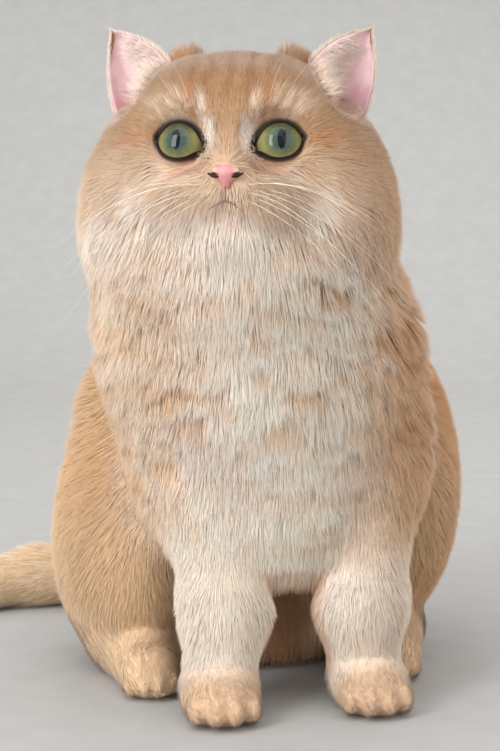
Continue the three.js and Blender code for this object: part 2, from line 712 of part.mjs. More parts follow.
function makeCat() {
  const group = new THREE.Group();
  const add = (name, solid, finish = COAT) => group.add(node(name, solid, finish));
  const scalp = headSkin(GAP);
  add('head', makeHead());
  add('neck', makeNeck(), CREAM);
  add('chest', makeChest(), CREAM);
  add('torso', makeTorso());
  add('nose', inHead(cutBy(nose(0), [nostril(1), nostril(-1)])), FINISH.nose);
  for (const side of ['left', 'right']) {
    add(`ear_${side}`, largest(inHead(ear(SIDES[side]).subtract(scalp))), FINISH.ear);
    add(`eye_${side}`, inHead(eyeBall(side, EYE.radius, 18, 12)), FINISH.eye);
    add(`thigh_${side}`, makeThigh(side));
    add(`hindfoot_${side}`, makeHindFoot(side));
    add(`foreleg_${side}`, makeForeLeg(side), CREAM);
    add(`forefoot_${side}`, makeForeFoot(side));
  }
  for (const [name, solid] of Object.entries(tailLengths())) {
    add(name, solid);
  }
  group.position.set(-FOOTPRINT_MIDDLE[0], -FOOTPRINT_MIDDLE[1], 0);
  return group;
}

export default makeCat();
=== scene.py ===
"""A sitting golden cat, life-size: skin, coat, eyes, nose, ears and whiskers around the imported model."""
import math

import bpy
import numpy as np
from mathutils import Matrix, Vector
from mathutils.kdtree import KDTree


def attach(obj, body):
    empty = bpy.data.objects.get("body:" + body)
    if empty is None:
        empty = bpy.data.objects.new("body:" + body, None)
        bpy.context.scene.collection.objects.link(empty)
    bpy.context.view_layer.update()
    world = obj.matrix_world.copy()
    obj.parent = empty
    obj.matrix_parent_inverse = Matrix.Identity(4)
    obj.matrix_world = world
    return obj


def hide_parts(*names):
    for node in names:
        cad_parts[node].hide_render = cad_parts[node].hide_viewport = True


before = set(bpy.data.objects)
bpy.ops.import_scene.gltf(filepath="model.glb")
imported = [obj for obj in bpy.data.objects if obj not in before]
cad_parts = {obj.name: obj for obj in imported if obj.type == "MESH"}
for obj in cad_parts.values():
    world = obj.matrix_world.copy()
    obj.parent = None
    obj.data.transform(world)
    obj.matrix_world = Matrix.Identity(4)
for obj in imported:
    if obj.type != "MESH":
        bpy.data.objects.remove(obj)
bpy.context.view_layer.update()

# The cat's own measures, in millimetres in its own axes; the frame's origin lies under FOOTPRINT_MIDDLE
MM = 0.001
FOOTPRINT_MIDDLE = np.array([-54.0, 37.0, 0.0])
BODY_MIDDLE, BODY_YAW = (12.0, 0.0, 0.0), 8.6
HEAD_MIDDLE, HEAD_YAW, HEAD_PITCH = (-6.0, -72.0, 298.0), -5.0, 8.0

EYE_AT, EYE_RADIUS = np.array([24.6, -47.0, 4.0]), 13.0
EYE_TURN, EYE_LIFT, EYE_TILT = 10.0, 4.0, 8.0
EYE_OPENING = (10.8, 9.0)
EAR_HOLLOW, EAR_HOLLOW_SIZE = (57.0, -24.0, 42.0), (12.5, 30.0, 17.0)
PUPIL_TURN = {1: 12.0, -1: -9.0}
NOSE_AT = np.array([0.0, -72.0, -15.0])
HAIR_CROWN = NOSE_AT + np.array([0.0, 10.0, 2.0])
SIDES = {"left": 1.0, "right": -1.0}

FLESH = (
    "head", "neck", "chest", "torso", "thigh_left", "thigh_right", "hindfoot_left", "hindfoot_right",
    "foreleg_left", "foreleg_right", "forefoot_left", "forefoot_right",
    "tail_base", "tail_middle", "tail_tip",
)


# Axes
def turned(yaw, pitch=0.0):
    """The right, back and up directions of a frame turned about +Z and tipped up, as columns."""
    cy, sy = math.cos(math.radians(yaw)), math.sin(math.radians(yaw))
    cp, sp = math.cos(math.radians(pitch)), math.sin(math.radians(pitch))
    right = np.array([cy, sy, 0.0])
    back = np.array([-sy * cp, cy * cp, -sp])
    return np.stack([right, back, np.cross(right, back)], 1)


BODY_AXES = turned(BODY_YAW)
HEAD_AXES = turned(HEAD_YAW, HEAD_PITCH)


def unit(v, least=0.0):
    """Directions of length 1; least keeps those of no length finite."""
    return v / (np.linalg.norm(v, axis=-1, keepdims=True) + least)


def vectors(x, y, z):
    return np.stack(np.broadcast_arrays(x, y, z), -1)


def to_body(p):
    return (p - BODY_MIDDLE) @ BODY_AXES


def to_head(p):
    return (p - HEAD_MIDDLE) @ HEAD_AXES


def from_head(h):
    return np.asarray(h) @ HEAD_AXES.T + HEAD_MIDDLE


def to_frame(p):
    """From the cat's millimetres to the frame's metres."""
    return (np.asarray(p) - FOOTPRINT_MIDDLE) * MM


# Distances to the forms of the body, below nought inside
def ball(p, at, size):
    q, r = p - np.array(at, float), np.array(size, float)
    near = np.linalg.norm(q / r, axis=-1)
    return near * (near - 1) / (np.linalg.norm(q / (r * r), axis=-1) + 1e-9)


def limb(p, start, end, r0, r1):
    start, end = np.array(start, float), np.array(end, float)
    along = end - start
    t = np.clip(((p - start) @ along) / (along @ along), 0, 1)
    return np.linalg.norm(p - start - t[..., None] * along, axis=-1) - (r0 + (r1 - r0) * t)


def blend(a, b, width):
    near = np.maximum(width - np.abs(a - b), 0) / width
    return np.minimum(a, b) - near * near * width / 4


def cut_away(a, b, width):
    """The first form less the second, rounded where they meet."""
    return -blend(-a, b, width)


def blend_all(distances, width):
    joined = distances[0]
    for distance in distances[1:]:
        joined = blend(joined, distance, width)
    return joined


def folded(p):
    """Both sides as one."""
    return np.concatenate([np.abs(p[..., :1]), p[..., 1:]], -1)


def toe_row(p, middle, across, forward, height, radius):
    size = (radius * 0.72, radius * 1.15, radius)
    row = [ball(p, (middle[0] + x, middle[1] - y, height), size) for x, y in zip(across, forward)]
    return blend_all(row, 3)


def trunk(b):
    m = folded(b)
    forms = [
        ball(b, (0, 78, 82), (104, 84, 92)),
        limb(b, (0, 66, 122), (0, -20, 184), 90, 80),
        ball(b, (-10, -44, 200), (84, 64, 66)),
        ball(b, (-2, -54, 138), (60, 48, 74)),
        ball(b, (0, 32, 44), (64, 44, 46)),
        ball(m, (41, 66, 141), (73, 68, 77)),
    ]
    return blend(blend_all(forms, 34), ball(m, (46, -34, 142), (44, 44, 62)), 24)


THIGHS = {1: ((78, 48, 108), (48, 74, 90)), -1: ((-78, 42, 76), (50, 76, 80))}
HIND_FEET = {1: ((76, 24, 20), (69, -18, 14)), -1: ((-80, 20, 20), (-75, -34, 14))}


def hind_legs(b):
    legs = []
    for side in (1, -1):
        heel, ball_of_foot = HIND_FEET[side]
        toes = toe_row(b, ball_of_foot, (-12, -4, 4, 12), (8, 13, 13, 8), 9, 8)
        foot = blend(limb(b, heel, ball_of_foot, 25, 19), toes, 5)
        legs.append(blend(ball(b, *THIGHS[side]), foot, 16))
    return np.minimum(*legs)


PAW_STEP = {1: (3, 3), -1: (6, -5)}


def fore_legs(b):
    legs = []
    for side in (1, -1):
        out, back = PAW_STEP[side]
        arm = limb(b, (2 + 42 * side, -52, 128), (2 + 38 * side, -68, 60), 34, 26)
        wrist = (2 + (37 + out) * side, -73 + back, 22)
        fore = limb(b, (2 + 38 * side, -68, 60), wrist, 26, 21.5)
        paw = (2 + (38 + out) * side, -84 + back, 12)
        toes = toe_row(b, paw, (-15, -5, 5, 15), (17, 23, 23, 17), 10, 9)
        foot = blend(ball(b, paw, (23, 28, 18)), toes, 5)
        legs.append(blend(blend(arm, fore, 12), foot, 10))
    return np.minimum(*legs)


TAIL = (((-4, 140, 30), 34), ((-40, 176, 26), 29), ((-95, 196, 24), 25), ((-150, 190, 21), 22),
        ((-196, 166, 18), 19), ((-224, 138, 15), 15))


def tail(p):
    return blend_all([limb(p, a, b, ra, rb) for (a, ra), (b, rb) in zip(TAIL, TAIL[1:])], 10)


def head(h):
    m = folded(h)
    skull = blend(ball(h, (0, 8, 4), (74, 66, 61)), ball(m, (42, 2, -22), (42.5, 50, 44)), 22)
    skull = blend(skull, ball(h, (0, -26, 14), (52, 34, 42)), 22)
    skull = blend(skull, ball(m, (27, 0, 57), (13, 15, 11)), 10)
    face = blend(skull, limb(h, (0, -44, 2), (0, -60, -11), 17, 11), 14)
    face = blend(face, ball(m, (15, -50, -25), (22, 23, 15)), 10)
    return blend(face, ball(h, (0, -48, -40), (17, 17, 11)), 9)


def neck(p):
    return limb(p, (-6, -56, 256), (-3, -38, 212), 86, 84)


def groups(p):
    """The distance to each main part of the body."""
    b = to_body(p)
    return {"trunk": trunk(b), "hind": hind_legs(b), "fore": fore_legs(b), "neck": neck(p),
            "head": head(to_head(p)), "tail": tail(p)}


def cat(p):
    """The coat's outline."""
    g = groups(p)
    whole = blend(blend(g["trunk"], g["hind"], 18), g["fore"], 14)
    return blend(blend(blend(whole, g["neck"], 30), g["head"], 16), g["tail"], 14)


def smooth(low, high, value):
    t = np.clip((value - low) / (high - low), 0, 1)
    return t * t * (3 - 2 * t)


def ear_hollow(h):
    return ball(folded(h), EAR_HOLLOW, EAR_HOLLOW_SIZE)


def share(p):
    """How much of each main part a place near the surface belongs to."""
    g = groups(p)
    names = list(g)
    d = np.stack([g[name] for name in names], -1)
    weight = np.exp(-(d - d.min(-1, keepdims=True)) / 7.0)
    weight /= weight.sum(-1, keepdims=True)
    return {name: weight[..., i] for i, name in enumerate(names)}


def eye_place(side):
    return EYE_AT * np.array([side, 1.0, 1.0])


def gaze(side):
    """The eye's own right, back and up directions, as columns in the head's axes."""
    a, b, c = (math.radians(v) for v in (EYE_TURN * side, -EYE_LIFT, -EYE_TILT * side))
    turn = Matrix.Rotation(a, 3, "Z") @ Matrix.Rotation(b, 3, "X") @ Matrix.Rotation(c, 3, "Y")
    return np.array(turn)


def eye_axes(h, side):
    """A place of the head in an eye's own axes, and how far out it is: 1 on the opening's edge."""
    q = (h - eye_place(side)) @ gaze(side)
    return q, np.sqrt((q[..., 0] / EYE_OPENING[0]) ** 2 + (q[..., 2] / EYE_OPENING[1]) ** 2 + 1e-6)


LID, EYE_FLARE = 1.6, 1.1
OPENING_MEAN = 9.9


def openings(h):
    """Hollows in front of the eyes, flared outside the lids, and the cups of the ears."""
    hollows = []
    for side in (1, -1):
        q, out = eye_axes(h, side)
        ahead = -q[..., 1]
        hole = np.maximum((out - 0.94) * OPENING_MEAN, EYE_RADIUS - 2 - np.linalg.norm(q, axis=-1))
        hole = np.maximum(hole, -ahead)
        flare = ((out - 1.06) * OPENING_MEAN - EYE_FLARE * (ahead - 8.0)) / math.hypot(1, EYE_FLARE)
        flare = np.maximum(flare, EYE_RADIUS + LID - np.linalg.norm(q, axis=-1))
        hollows.append(np.minimum(hole, np.maximum(flare, 2 - ahead)))
    hollows.append(ear_hollow(h))
    return np.minimum.reduce(hollows)


CROWN_PRESS = 4.0


def outline(p):
    """The coat's outline as it lies: flat on the crown, and open at the eyes and ears."""
    h = to_head(p)
    crown = smooth(40, 60, h[..., 2]) * (1 - 0.55 * smooth(12, 28, np.abs(h[..., 0])))
    return cut_away(cat(p) + CROWN_PRESS * crown, openings(h), 1.5)


def facewards(h):
    """1 on the face, falling to 0 over the cheeks and crown."""
    return smooth(-8, -42, h[..., 1]) * smooth(-62, -44, h[..., 2])


def ear_rim(h):
    """1 in and beside the hollow of an ear, falling to 0 a little way out."""
    return smooth(7, 1, ear_hollow(h))


def eye_rim(h):
    """1 at the edge of an eye's opening, falling to 0 a little way out."""
    return np.maximum(*(smooth(1.9, 1.1, eye_axes(h, side)[1]) * (h[..., 1] < -30) for side in (1, -1)))


def by_part(part, head, trunk, fore, hind, tail):
    """One value from those of the main parts, each by its share."""
    return (part["head"] * head + (part["trunk"] + part["neck"]) * trunk + part["fore"] * fore
            + part["hind"] * hind + part["tail"] * tail)


def coat_depth(p):
    """How deep the skin lies under the coat's outline."""
    b, h, part = to_body(p), to_head(p), share(p)
    bib = smooth(0, -60, b[..., 1]) * smooth(70, 110, b[..., 2])
    head_depth = 5.0 - 3.4 * facewards(h) - 0.8 * eye_rim(h)
    head_depth = head_depth - (head_depth - 1.0) * ear_rim(h) * 0.8
    leg_depth = 4.5 - 2.7 * smooth(45, 18, b[..., 2])
    low = smooth(60, 30, b[..., 2])
    return by_part(part, head_depth, 6.5 + 2.5 * bib, leg_depth, leg_depth * low + 6.0 * (1 - low), 4.5)


SOLE = 0.4


def skin_field(p):
    """The skin under the coat."""
    return np.maximum(outline(p) + coat_depth(p), SOLE - p[..., 2])


# Meshes from distances
FAR = 50.0


def surface_nets(field, low, high, step, coarse=4):
    """Points and outward four-sided faces of a field's zero surface."""
    counts = [int(math.ceil((b - a) / (step * coarse))) * coarse + 1 for a, b in zip(low, high)]
    axes = [low[i] + step * np.arange(n) for i, n in enumerate(counts)]
    rough_axes = [axis[:-1:coarse] + step * coarse / 2 for axis in axes]
    rough = field(np.stack(np.meshgrid(*rough_axes, indexing="ij"), -1))

    def block(cell):
        return tuple(slice(n * coarse, (n + 1) * coarse + 1) for n in cell)

    values, mask = np.full(counts, FAR), np.zeros(counts, bool)
    for cell in np.argwhere(rough < 0):
        values[block(cell)] = -FAR
    for cell in np.argwhere(np.abs(rough) < step * coarse * 1.35 + 2):
        mask[block(cell)] = True
    at = np.argwhere(mask)
    points = np.stack([axes[n][at[:, n]] for n in range(3)], -1)
    batches = np.array_split(points, max(1, len(points) // 200000))
    values[mask] = np.concatenate([field(batch) for batch in batches])
    inside = values < 0
    cells = [n - 1 for n in counts]
    total = np.zeros(cells, np.int8)
    for corner in np.ndindex(2, 2, 2):
        total += inside[tuple(slice(c, c + n) for c, n in zip(corner, cells))]
    active = np.argwhere((total > 0) & (total < 8))
    index = np.full(cells, -1, np.int32)
    index[tuple(active.T)] = np.arange(len(active))
    place = np.zeros((len(active), 3))
    crossings = np.zeros(len(active))
    for axis in range(3):
        for corner in np.ndindex(2, 2):
            start = np.insert(np.array(corner), axis, 0)
            end = start + np.eye(3, dtype=int)[axis]
            a, b = values[tuple((active + start).T)], values[tuple((active + end).T)]
            crossed = (a < 0) != (b < 0)
            t = np.where(crossed, a / np.where(crossed, a - b, 1.0), 0.0)
            place += crossed[:, None] * (start + t[:, None] * (end - start))
            crossings += crossed
    corners = np.array(low) + step * (active + place / crossings[:, None])
    faces = []
    for axis in range(3):
        u, v = (axis + 1) % 3, (axis + 2) % 3
        here = [slice(1, n) for n in cells]
        here[axis] = slice(0, cells[axis])
        there = list(here)
        there[axis] = slice(1, cells[axis] + 1)
        a, b = inside[tuple(here)], inside[tuple(there)]
        for going_out in (True, False):
            edges = np.argwhere(a & ~b if going_out else b & ~a)
            ring = []
            for du, dv in ((0, 0), (1, 0), (1, 1), (0, 1)):
                cell = edges.copy()
                cell[:, u] += du
                cell[:, v] += dv
                ring.append(index[tuple(cell.T)])
            quad = np.stack(ring, -1)
            faces.append(quad if going_out else quad[:, ::-1])
    return corners, np.concatenate(faces)


def gradient(field, p, reach=0.4):
    slope = np.stack([field(p + step) - field(p - step) for step in reach * np.eye(3)], -1)
    return unit(slope, 1e-9)


def settled(field, p, rounds):
    """Points moved onto a field's zero surface."""
    for _ in range(rounds):
        p = p - gradient(field, p) * field(p)[:, None] * 0.9
    return p


def mesh_object(name, points, faces, tint=None, uv=None, normals=None):
    """An object from frame metres; faces all have the same number of corners."""
    mesh = bpy.data.meshes.new(name)
    faces = np.asarray(faces, np.int32)
    corners = faces.shape[1]
    mesh.vertices.add(len(points))
    mesh.vertices.foreach_set("co", np.asarray(points, np.float32).ravel())
    mesh.loops.add(faces.size)
    mesh.loops.foreach_set("vertex_index", faces.ravel())
    mesh.polygons.add(len(faces))
    mesh.polygons.foreach_set("loop_start", np.arange(0, faces.size, corners, dtype=np.int32))
    mesh.polygons.foreach_set("use_smooth", np.ones(len(faces), bool))
    if tint is not None:
        layer = mesh.color_attributes.new("tint", "FLOAT_COLOR", "POINT")
        rgba = np.ones((len(points), 4), np.float32)
        rgba[:, :3] = tint
        layer.data.foreach_set("color", rgba.ravel())
    if uv is not None:
        layer = mesh.uv_layers.new(name="OFBake")
        layer.data.foreach_set("uv", np.asarray(uv, np.float32)[faces.ravel()].ravel())
    mesh.update(calc_edges=True)
    if normals is not None:
        mesh.normals_split_custom_set_from_vertices(normals)
    made = bpy.data.objects.new(name, mesh)
    bpy.context.scene.collection.objects.link(made)
    return made


def lofted(rings, first, last):
    """Triangles over rings of points, with one point at each end."""
    rings = np.asarray(rings)
    count, sides = rings.shape[:2]
    points = np.concatenate([[first], rings.reshape(-1, 3), [last]])
    faces = []
    for i in range(sides):
        j = (i + 1) % sides
        faces.append((0, 1 + j, 1 + i))
        for k in range(count - 1):
            a, b = 1 + k * sides, 1 + (k + 1) * sides
            faces += [(a + i, a + j, b + j), (a + i, b + j, b + i)]
        a = 1 + (count - 1) * sides
        faces.append((a + i, a + j, len(points) - 1))
    return points, np.array(faces)


def outward(points, faces):
    a, b, c = (points[faces[:, i]] for i in range(3))
    volume = np.einsum("ij,ij->i", a, np.cross(b, c)).sum()
    return faces if volume > 0 else faces[:, ::-1]


def gathered(parts):
    """Several bodies of triangles as one."""
    points, faces, start = [], [], 0
    for body_points, body_faces in parts:
        points.append(body_points)
        faces.append(outward(body_points, body_faces) + start)
        start += len(body_points)
    return np.concatenate(points), np.concatenate(faces)


# Smooth noise that is the same each run
class Noise:
    """A smooth random field made of waves, about -1 to 1, over a given length."""

    def __init__(self, seed, length, waves=20):
        draw = np.random.default_rng(seed)
        direction = unit(draw.normal(size=(waves, 3)))
        self.wave = direction * (2 * math.pi / length) * draw.uniform(0.6, 1.5, (waves, 1))
        self.phase = draw.uniform(0, 2 * math.pi, waves)

    def __call__(self, p):
        return np.sin(p @ self.wave.T + self.phase).sum(-1) / math.sqrt(len(self.phase) / 2) * 0.6


def linear(*rgb):
    """A colour from its screen values, 0 to 255."""
    c = np.array(rgb, float) / 255
    return np.where(c <= 0.04045, c / 12.92, ((c + 0.055) / 1.055) ** 2.4)


def mix(a, b, t):
    return a + (b - a) * np.asarray(t)[..., None]


# Colours of the coat
GOLD = linear(168, 126, 84)
GOLD_DEEP = linear(192, 132, 78)
GOLD_SPINE = linear(160, 112, 70)
CHEEK_GOLD = linear(212, 180, 148)
APRICOT = linear(230, 194, 156)
CREAM = linear(250, 233, 217)
WHITE = linear(253, 237, 224)
HAUNCH = linear(220, 184, 144)
STRIPE = linear(146, 98, 60)
RUST = linear(182, 116, 68)
TOE = linear(222, 182, 146)
HIND_TOE = linear(240, 206, 170)
# painted shade for the gap between the forelegs
SHADE = linear(206, 156, 114)
# partly the tail's own pale gold, partly painted light
TAIL_GOLD_AND_PAINTED_LIGHT = linear(248, 218, 182)
LILAC = linear(214, 174, 180)
EAR_PINK = linear(228, 198, 202)
EAR_ROSE = linear(210, 158, 164)

PATCHES = Noise(11, 60)
STREAKS = Noise(12, 16)
FINE = Noise(13, 7)


def spot(h, at, size):
    """1 at a place of the head, fading to 0 at the edge of an oval around it; both sides alike."""
    q = (folded(h) - np.array(at)) / np.array(size)
    return smooth(1.0, 0.35, np.linalg.norm(q, axis=-1))


# Spots of the face: colour, middle, size, and strength, even and along the rays over the eyes
FACE_SPOTS = (
    (CREAM, (29, -46, 22), (20, 26, 13), 0.0, 0.5),
    (WHITE, (10.5, -60, 4), (5.2, 20, 12), 0.7, 0.3),
    (CREAM, (13, -52, 18), (4.4, 20, 13), 0.2, 0.5),
    (RUST, (19, -48, 27), (3.6, 20, 9), 0.9, 0.0),
    (RUST, (44, -42, 7), (16, 18, 5), 0.85, 0.0),
    (RUST, (17, -58, -8), (14, 20, 6), 1.0, 0.0),
    (WHITE, (29, -54, -11), (12, 16, 4), 0.3, 0.0),
    (WHITE, (42, -44, -23), (13, 22, 14), 0.95, 0.0),
)


def head_tint(h):
    m = folded(h)
    x, y, z = np.moveaxis(m, -1, 0)
    colour = mix(GOLD, CHEEK_GOLD, smooth(14, -22, z))
    colour = mix(colour, GOLD_DEEP, smooth(-20, 30, y) * 0.5)
    wander = x + 1.2 * STREAKS(h)
    lines = 0.5 + 0.5 * np.cos(wander * 2 * math.pi / 9.5)
    brow = smooth(14, 30, z) * smooth(34, 18, x) * smooth(30, -30, y)
    colour = mix(colour, STRIPE, brow * lines ** 2 * 0.8)
    fan = np.arctan2(z + 6, x - 19) * 30 + 3 * STREAKS(h) + 1.5 * FINE(h)
    rays = 0.25 + 0.75 * (0.5 + 0.5 * np.cos(fan)) ** 1.5
    for paint, at, size, plain, rayed in FACE_SPOTS:
        colour = mix(colour, paint, spot(h, at, size) * (plain + rayed * rays))
    # painted shade: the cat's left cheek, away from the window, deepened towards gold
    colour = mix(colour, GOLD_DEEP, smooth(20, 64, h[..., 0]) * smooth(30, 0, z) * 0.4)
    dots = np.cos((x - 12) * 2 * math.pi / 5.6) * np.cos((z + 21) * 2 * math.pi / 5.0)
    colour = mix(colour, STRIPE, spot(h, (21, -56, -22), (13, 20, 10)) * smooth(0.2, 0.7, dots) * 0.9)
    colour = mix(colour, LILAC, spot(h, (0, -62, -32), (6.5, 16, 6)) * 0.95)
    low = z + 0.3 * np.maximum(h[..., 0] - 5, 0) - 0.1 * np.maximum(-h[..., 0] - 10, 0)
    return mix(colour, WHITE, smooth(-25, -38, low) * smooth(10, -30, y) * 0.95)


def body_tint(p, normal):
    b = to_body(p)
    n = normal @ BODY_AXES
    part = share(p)
    x, y, z = np.moveaxis(b, -1, 0)
    gold = mix(HAUNCH, GOLD_DEEP, smooth(0.0, 0.9, n[..., 2]) * 0.6)
    # deeper gold on the cat's left side, away from the window: partly the coat's own gold, partly painted
    # shade
    gold = mix(gold, GOLD_DEEP, smooth(10, 60, x) * smooth(-30, 30, y) * 0.9)
    gold = mix(gold, GOLD_SPINE, smooth(26, 6, np.abs(x)) * smooth(0.0, 0.6, n[..., 2] + n[..., 1]) * 0.6)
    gold = mix(gold, GOLD_DEEP, smooth(0.2, 1.0, n[..., 1]) * 0.35 * (1 - part["tail"]))
    front = smooth(0.0, 0.5, -n[..., 1] + 0.25 * smooth(150, 240, z)) * smooth(20, -20, y)
    front = front * (1 - part["hind"]) * (1 - part["tail"])
    ticks = 0.02 + 0.22 * STREAKS(p * [0.6, 0.6, 1.5]) + 0.16 * PATCHES(p)
    # apricot on both sides of the bib is the coat's own; the extra apricot and deep gold on the cat's left
    # side, away from the window, is partly painted shade
    ticks = ticks + 0.45 * smooth(-30, -80, x) + 0.9 * smooth(12, 62, x)
    bib = mix(WHITE, APRICOT, np.clip(ticks, 0, 0.9))
    bib = mix(bib, GOLD_DEEP, smooth(24, 74, x) * 0.5)
    # the tail's pale gold carries painted light as well as its own colour
    colour = mix(mix(gold, TAIL_GOLD_AND_PAINTED_LIGHT, part["tail"] * 0.9), bib, front)
    leg = part["fore"] * smooth(130, 90, z)
    legs = mix(CREAM, APRICOT, np.clip(0.06 + 0.25 * PATCHES(p), 0, 1))
    colour = mix(colour, legs, leg * 0.9)
    # painted shade in the gap between the forelegs, over the belly
    shade_between_forelegs = smooth(34, 12, np.abs(x - 2)) * smooth(-84, -66, y) * smooth(122, 96, z) * smooth(60, 20, y)
    colour = mix(colour, SHADE, shade_between_forelegs * (1 - part["tail"]) * 0.95)
    colour = mix(colour, HIND_TOE, part["hind"] * smooth(64, 30, z) * smooth(46, 0, y) * 0.8)
    paw = part["fore"] * smooth(-76, -100, y)
    return mix(colour, TOE, paw * smooth(40, 20, z) * 0.85)


def in_ear(p):
    """1 on the walls of an ear's hollow."""
    h = to_head(p)
    wall = smooth(4.5, 2.5, ear_hollow(h))
    return wall * smooth(-3, -6, cat(p)) * smooth(-38, -24, h[..., 1])


def coat_tint(p, normal):
    """The markings, on skin and coat alike, together with painted shade between the forelegs and on the side
    away from the window, and painted light on the tail.
    """
    part = share(p)
    colour = mix(body_tint(p, normal), head_tint(to_head(p)), part["head"])
    colour = mix(colour, CREAM, ear_rim(to_head(p)) * part["head"] * 0.6)
    colour = mix(colour, EAR_ROSE, in_ear(p))
    return np.clip(colour * (1 + 0.06 * PATCHES(p) + 0.04 * FINE(p))[..., None], 0, 0.96)


# Materials
PLAIN_NOISE = 300


def principled(name, roughness, base=None, bump=None, **sockets):
    """A node material: one colour, or else the tint layer, varied by noise, over one shader."""
    material = bpy.data.materials.new(name)
    material.use_nodes = True
    nodes, links = material.node_tree.nodes, material.node_tree.links
    shader = nodes["Principled BSDF"]
    shader.inputs["Roughness"].default_value = roughness
    for socket, value in sockets.items():
        shader.inputs[socket.replace("_", " ")].default_value = value
    noise = nodes.new("ShaderNodeTexNoise")
    noise.inputs["Scale"].default_value = bump[0] if bump else PLAIN_NOISE
    noise.inputs["Detail"].default_value = 4
    place = nodes.new("ShaderNodeTexCoord")
    links.new(place.outputs["Object"], noise.inputs["Vector"])
    ramp = nodes.new("ShaderNodeMapRange")
    ramp.inputs["To Min"].default_value = 0.9
    ramp.inputs["To Max"].default_value = 1.1
    links.new(noise.outputs["Fac"], ramp.inputs["Value"])
    varied = nodes.new("ShaderNodeVectorMath")
    varied.operation = "SCALE"
    links.new(ramp.outputs["Result"], varied.inputs["Scale"])
    if base is None:
        layer = nodes.new("ShaderNodeAttribute")
        layer.attribute_name = "tint"
        links.new(layer.outputs["Color"], varied.inputs[0])
    else:
        varied.inputs[0].default_value = base
    links.new(varied.outputs["Vector"], shader.inputs["Base Color"])
    if bump:
        relief = nodes.new("ShaderNodeBump")
        relief.inputs["Strength"].default_value = bump[1]
        relief.inputs["Distance"].default_value = bump[2]
        links.new(noise.outputs["Fac"], relief.inputs["Height"])
        links.new(relief.outputs["Normal"], shader.inputs["Normal"])
    return material


HAIR = principled("hair", 0.62, Specular_IOR_Level=0.25, Sheen_Weight=0.25, Sheen_Roughness=0.5)
SKIN = principled("skin", 0.75, bump=(900, 0.3, 0.0006), Specular_IOR_Level=0.2)
EAR_SKIN = principled("ear_skin", 0.55, bump=(1400, 0.2, 0.0003))
NOSE_LEATHER = principled("nose_leather", 0.42, bump=(2600, 0.35, 0.0003))
CORNEA = {"Coat_Weight": 1.0, "Coat_IOR": 1.38, "Coat_Roughness": 0.04}
EYE = principled("eye", 0.4, Specular_IOR_Level=0.0, **CORNEA)
LID_SKIN = principled("lid_skin", 0.5, bump=(1800, 0.2, 0.0002), Specular_IOR_Level=0.2)
WHISKER = principled("whisker", 0.4, base=(0.86, 0.84, 0.8))


def finish_piece(piece, material, slot, *nodes):
    piece.data.materials.append(material)
    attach(piece, "root")
    if nodes:
        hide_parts(*nodes)


# Camera, light and floor
CAMERA_AT = (0.0, -1005.0, 266.0)
CAMERA_DOWN = 4.93
LENS, SENSOR = 81.97, 36.0


def add_camera():
    data = bpy.data.cameras.new("camera")
    data.lens, data.sensor_width, data.sensor_fit = LENS, SENSOR, "AUTO"
    camera = bpy.data.objects.new("camera", data)
    camera.location = to_frame(CAMERA_AT)
    camera.rotation_euler = (math.radians(90 - CAMERA_DOWN), 0, 0)
    bpy.context.scene.collection.objects.link(camera)
    bpy.context.scene.camera = camera


def add_light(name, at, aim, size, power, tint):
    data = bpy.data.lights.new(name, "AREA")
    data.shape = "RECTANGLE"
    data.size, data.size_y = size
    data.energy, data.color = power, tint
    light = bpy.data.objects.new(name, data)
    light.location = at
    light.rotation_euler = (Vector(aim) - Vector(at)).to_track_quat("-Z", "Y").to_euler()
    bpy.context.scene.collection.objects.link(light)


def add_stage():
    """A pale floor that curves up into a wall."""
    profile = [(-6.0, 0.0), (1.6, 0.0)]
    profile += [(1.6 + math.sin(a), 1.0 - math.cos(a)) for a in np.radians(np.arange(7.5, 90.1, 7.5))]
    profile.append((2.6, 5.0))
    points = np.array([(x, y, z) for y, z in profile for x in (-6.0, 6.0)])
    faces = [(2 * i, 2 * i + 1, 2 * i + 3, 2 * i + 2) for i in range(len(profile) - 1)]
    floor = mesh_object("floor", points, faces)
    pale = principled("floor", 0.85, base=(0.42, 0.42, 0.415), bump=(40, 0.05, 0.0005))
    floor.data.materials.append(pale)


def light_scene():
    world = bpy.data.worlds.new("studio")
    world.use_nodes = True
    back = world.node_tree.nodes["Background"]
    back.inputs["Color"].default_value = (1.0, 0.985, 0.96, 1.0)
    back.inputs["Strength"].default_value = 0.8
    bpy.context.scene.world = world
    add_light("window", (-1.4, -1.85, 0.85), (0.0, 0.0, 0.28), (0.85, 2.3), 56, (0.98, 0.985, 1.0))
    add_light("top", (-0.2, -1.0, 2.4), (0.0, 0.0, 0.2), (2.4, 2.4), 24, (1.0, 0.99, 0.97))
    add_light("fill", (1.8, -1.6, 0.9), (0.0, 0.0, 0.2), (2.2, 2.2), 14, (1.0, 0.97, 0.93))
    add_light("wall", (0.9, 0.9, 1.9), (0.7, 2.6, 0.7), (1.6, 1.0), 9, (1.0, 0.99, 0.98))
    add_light("back", (0.2, 1.6, 1.8), (0.0, 0.0, 0.2), (2.0, 2.0), 13, (1.0, 0.98, 0.95))
    bpy.context.scene.view_settings.view_transform = "Standard"


# The skin
PAINTED_SHADE_UNDER_COAT = 0.8  # painted shade: the skin's colour darkened under the coat
SKIN_BOX, SKIN_STEP = ((-250, -165, -6), (145, 240, 374)), 3.0


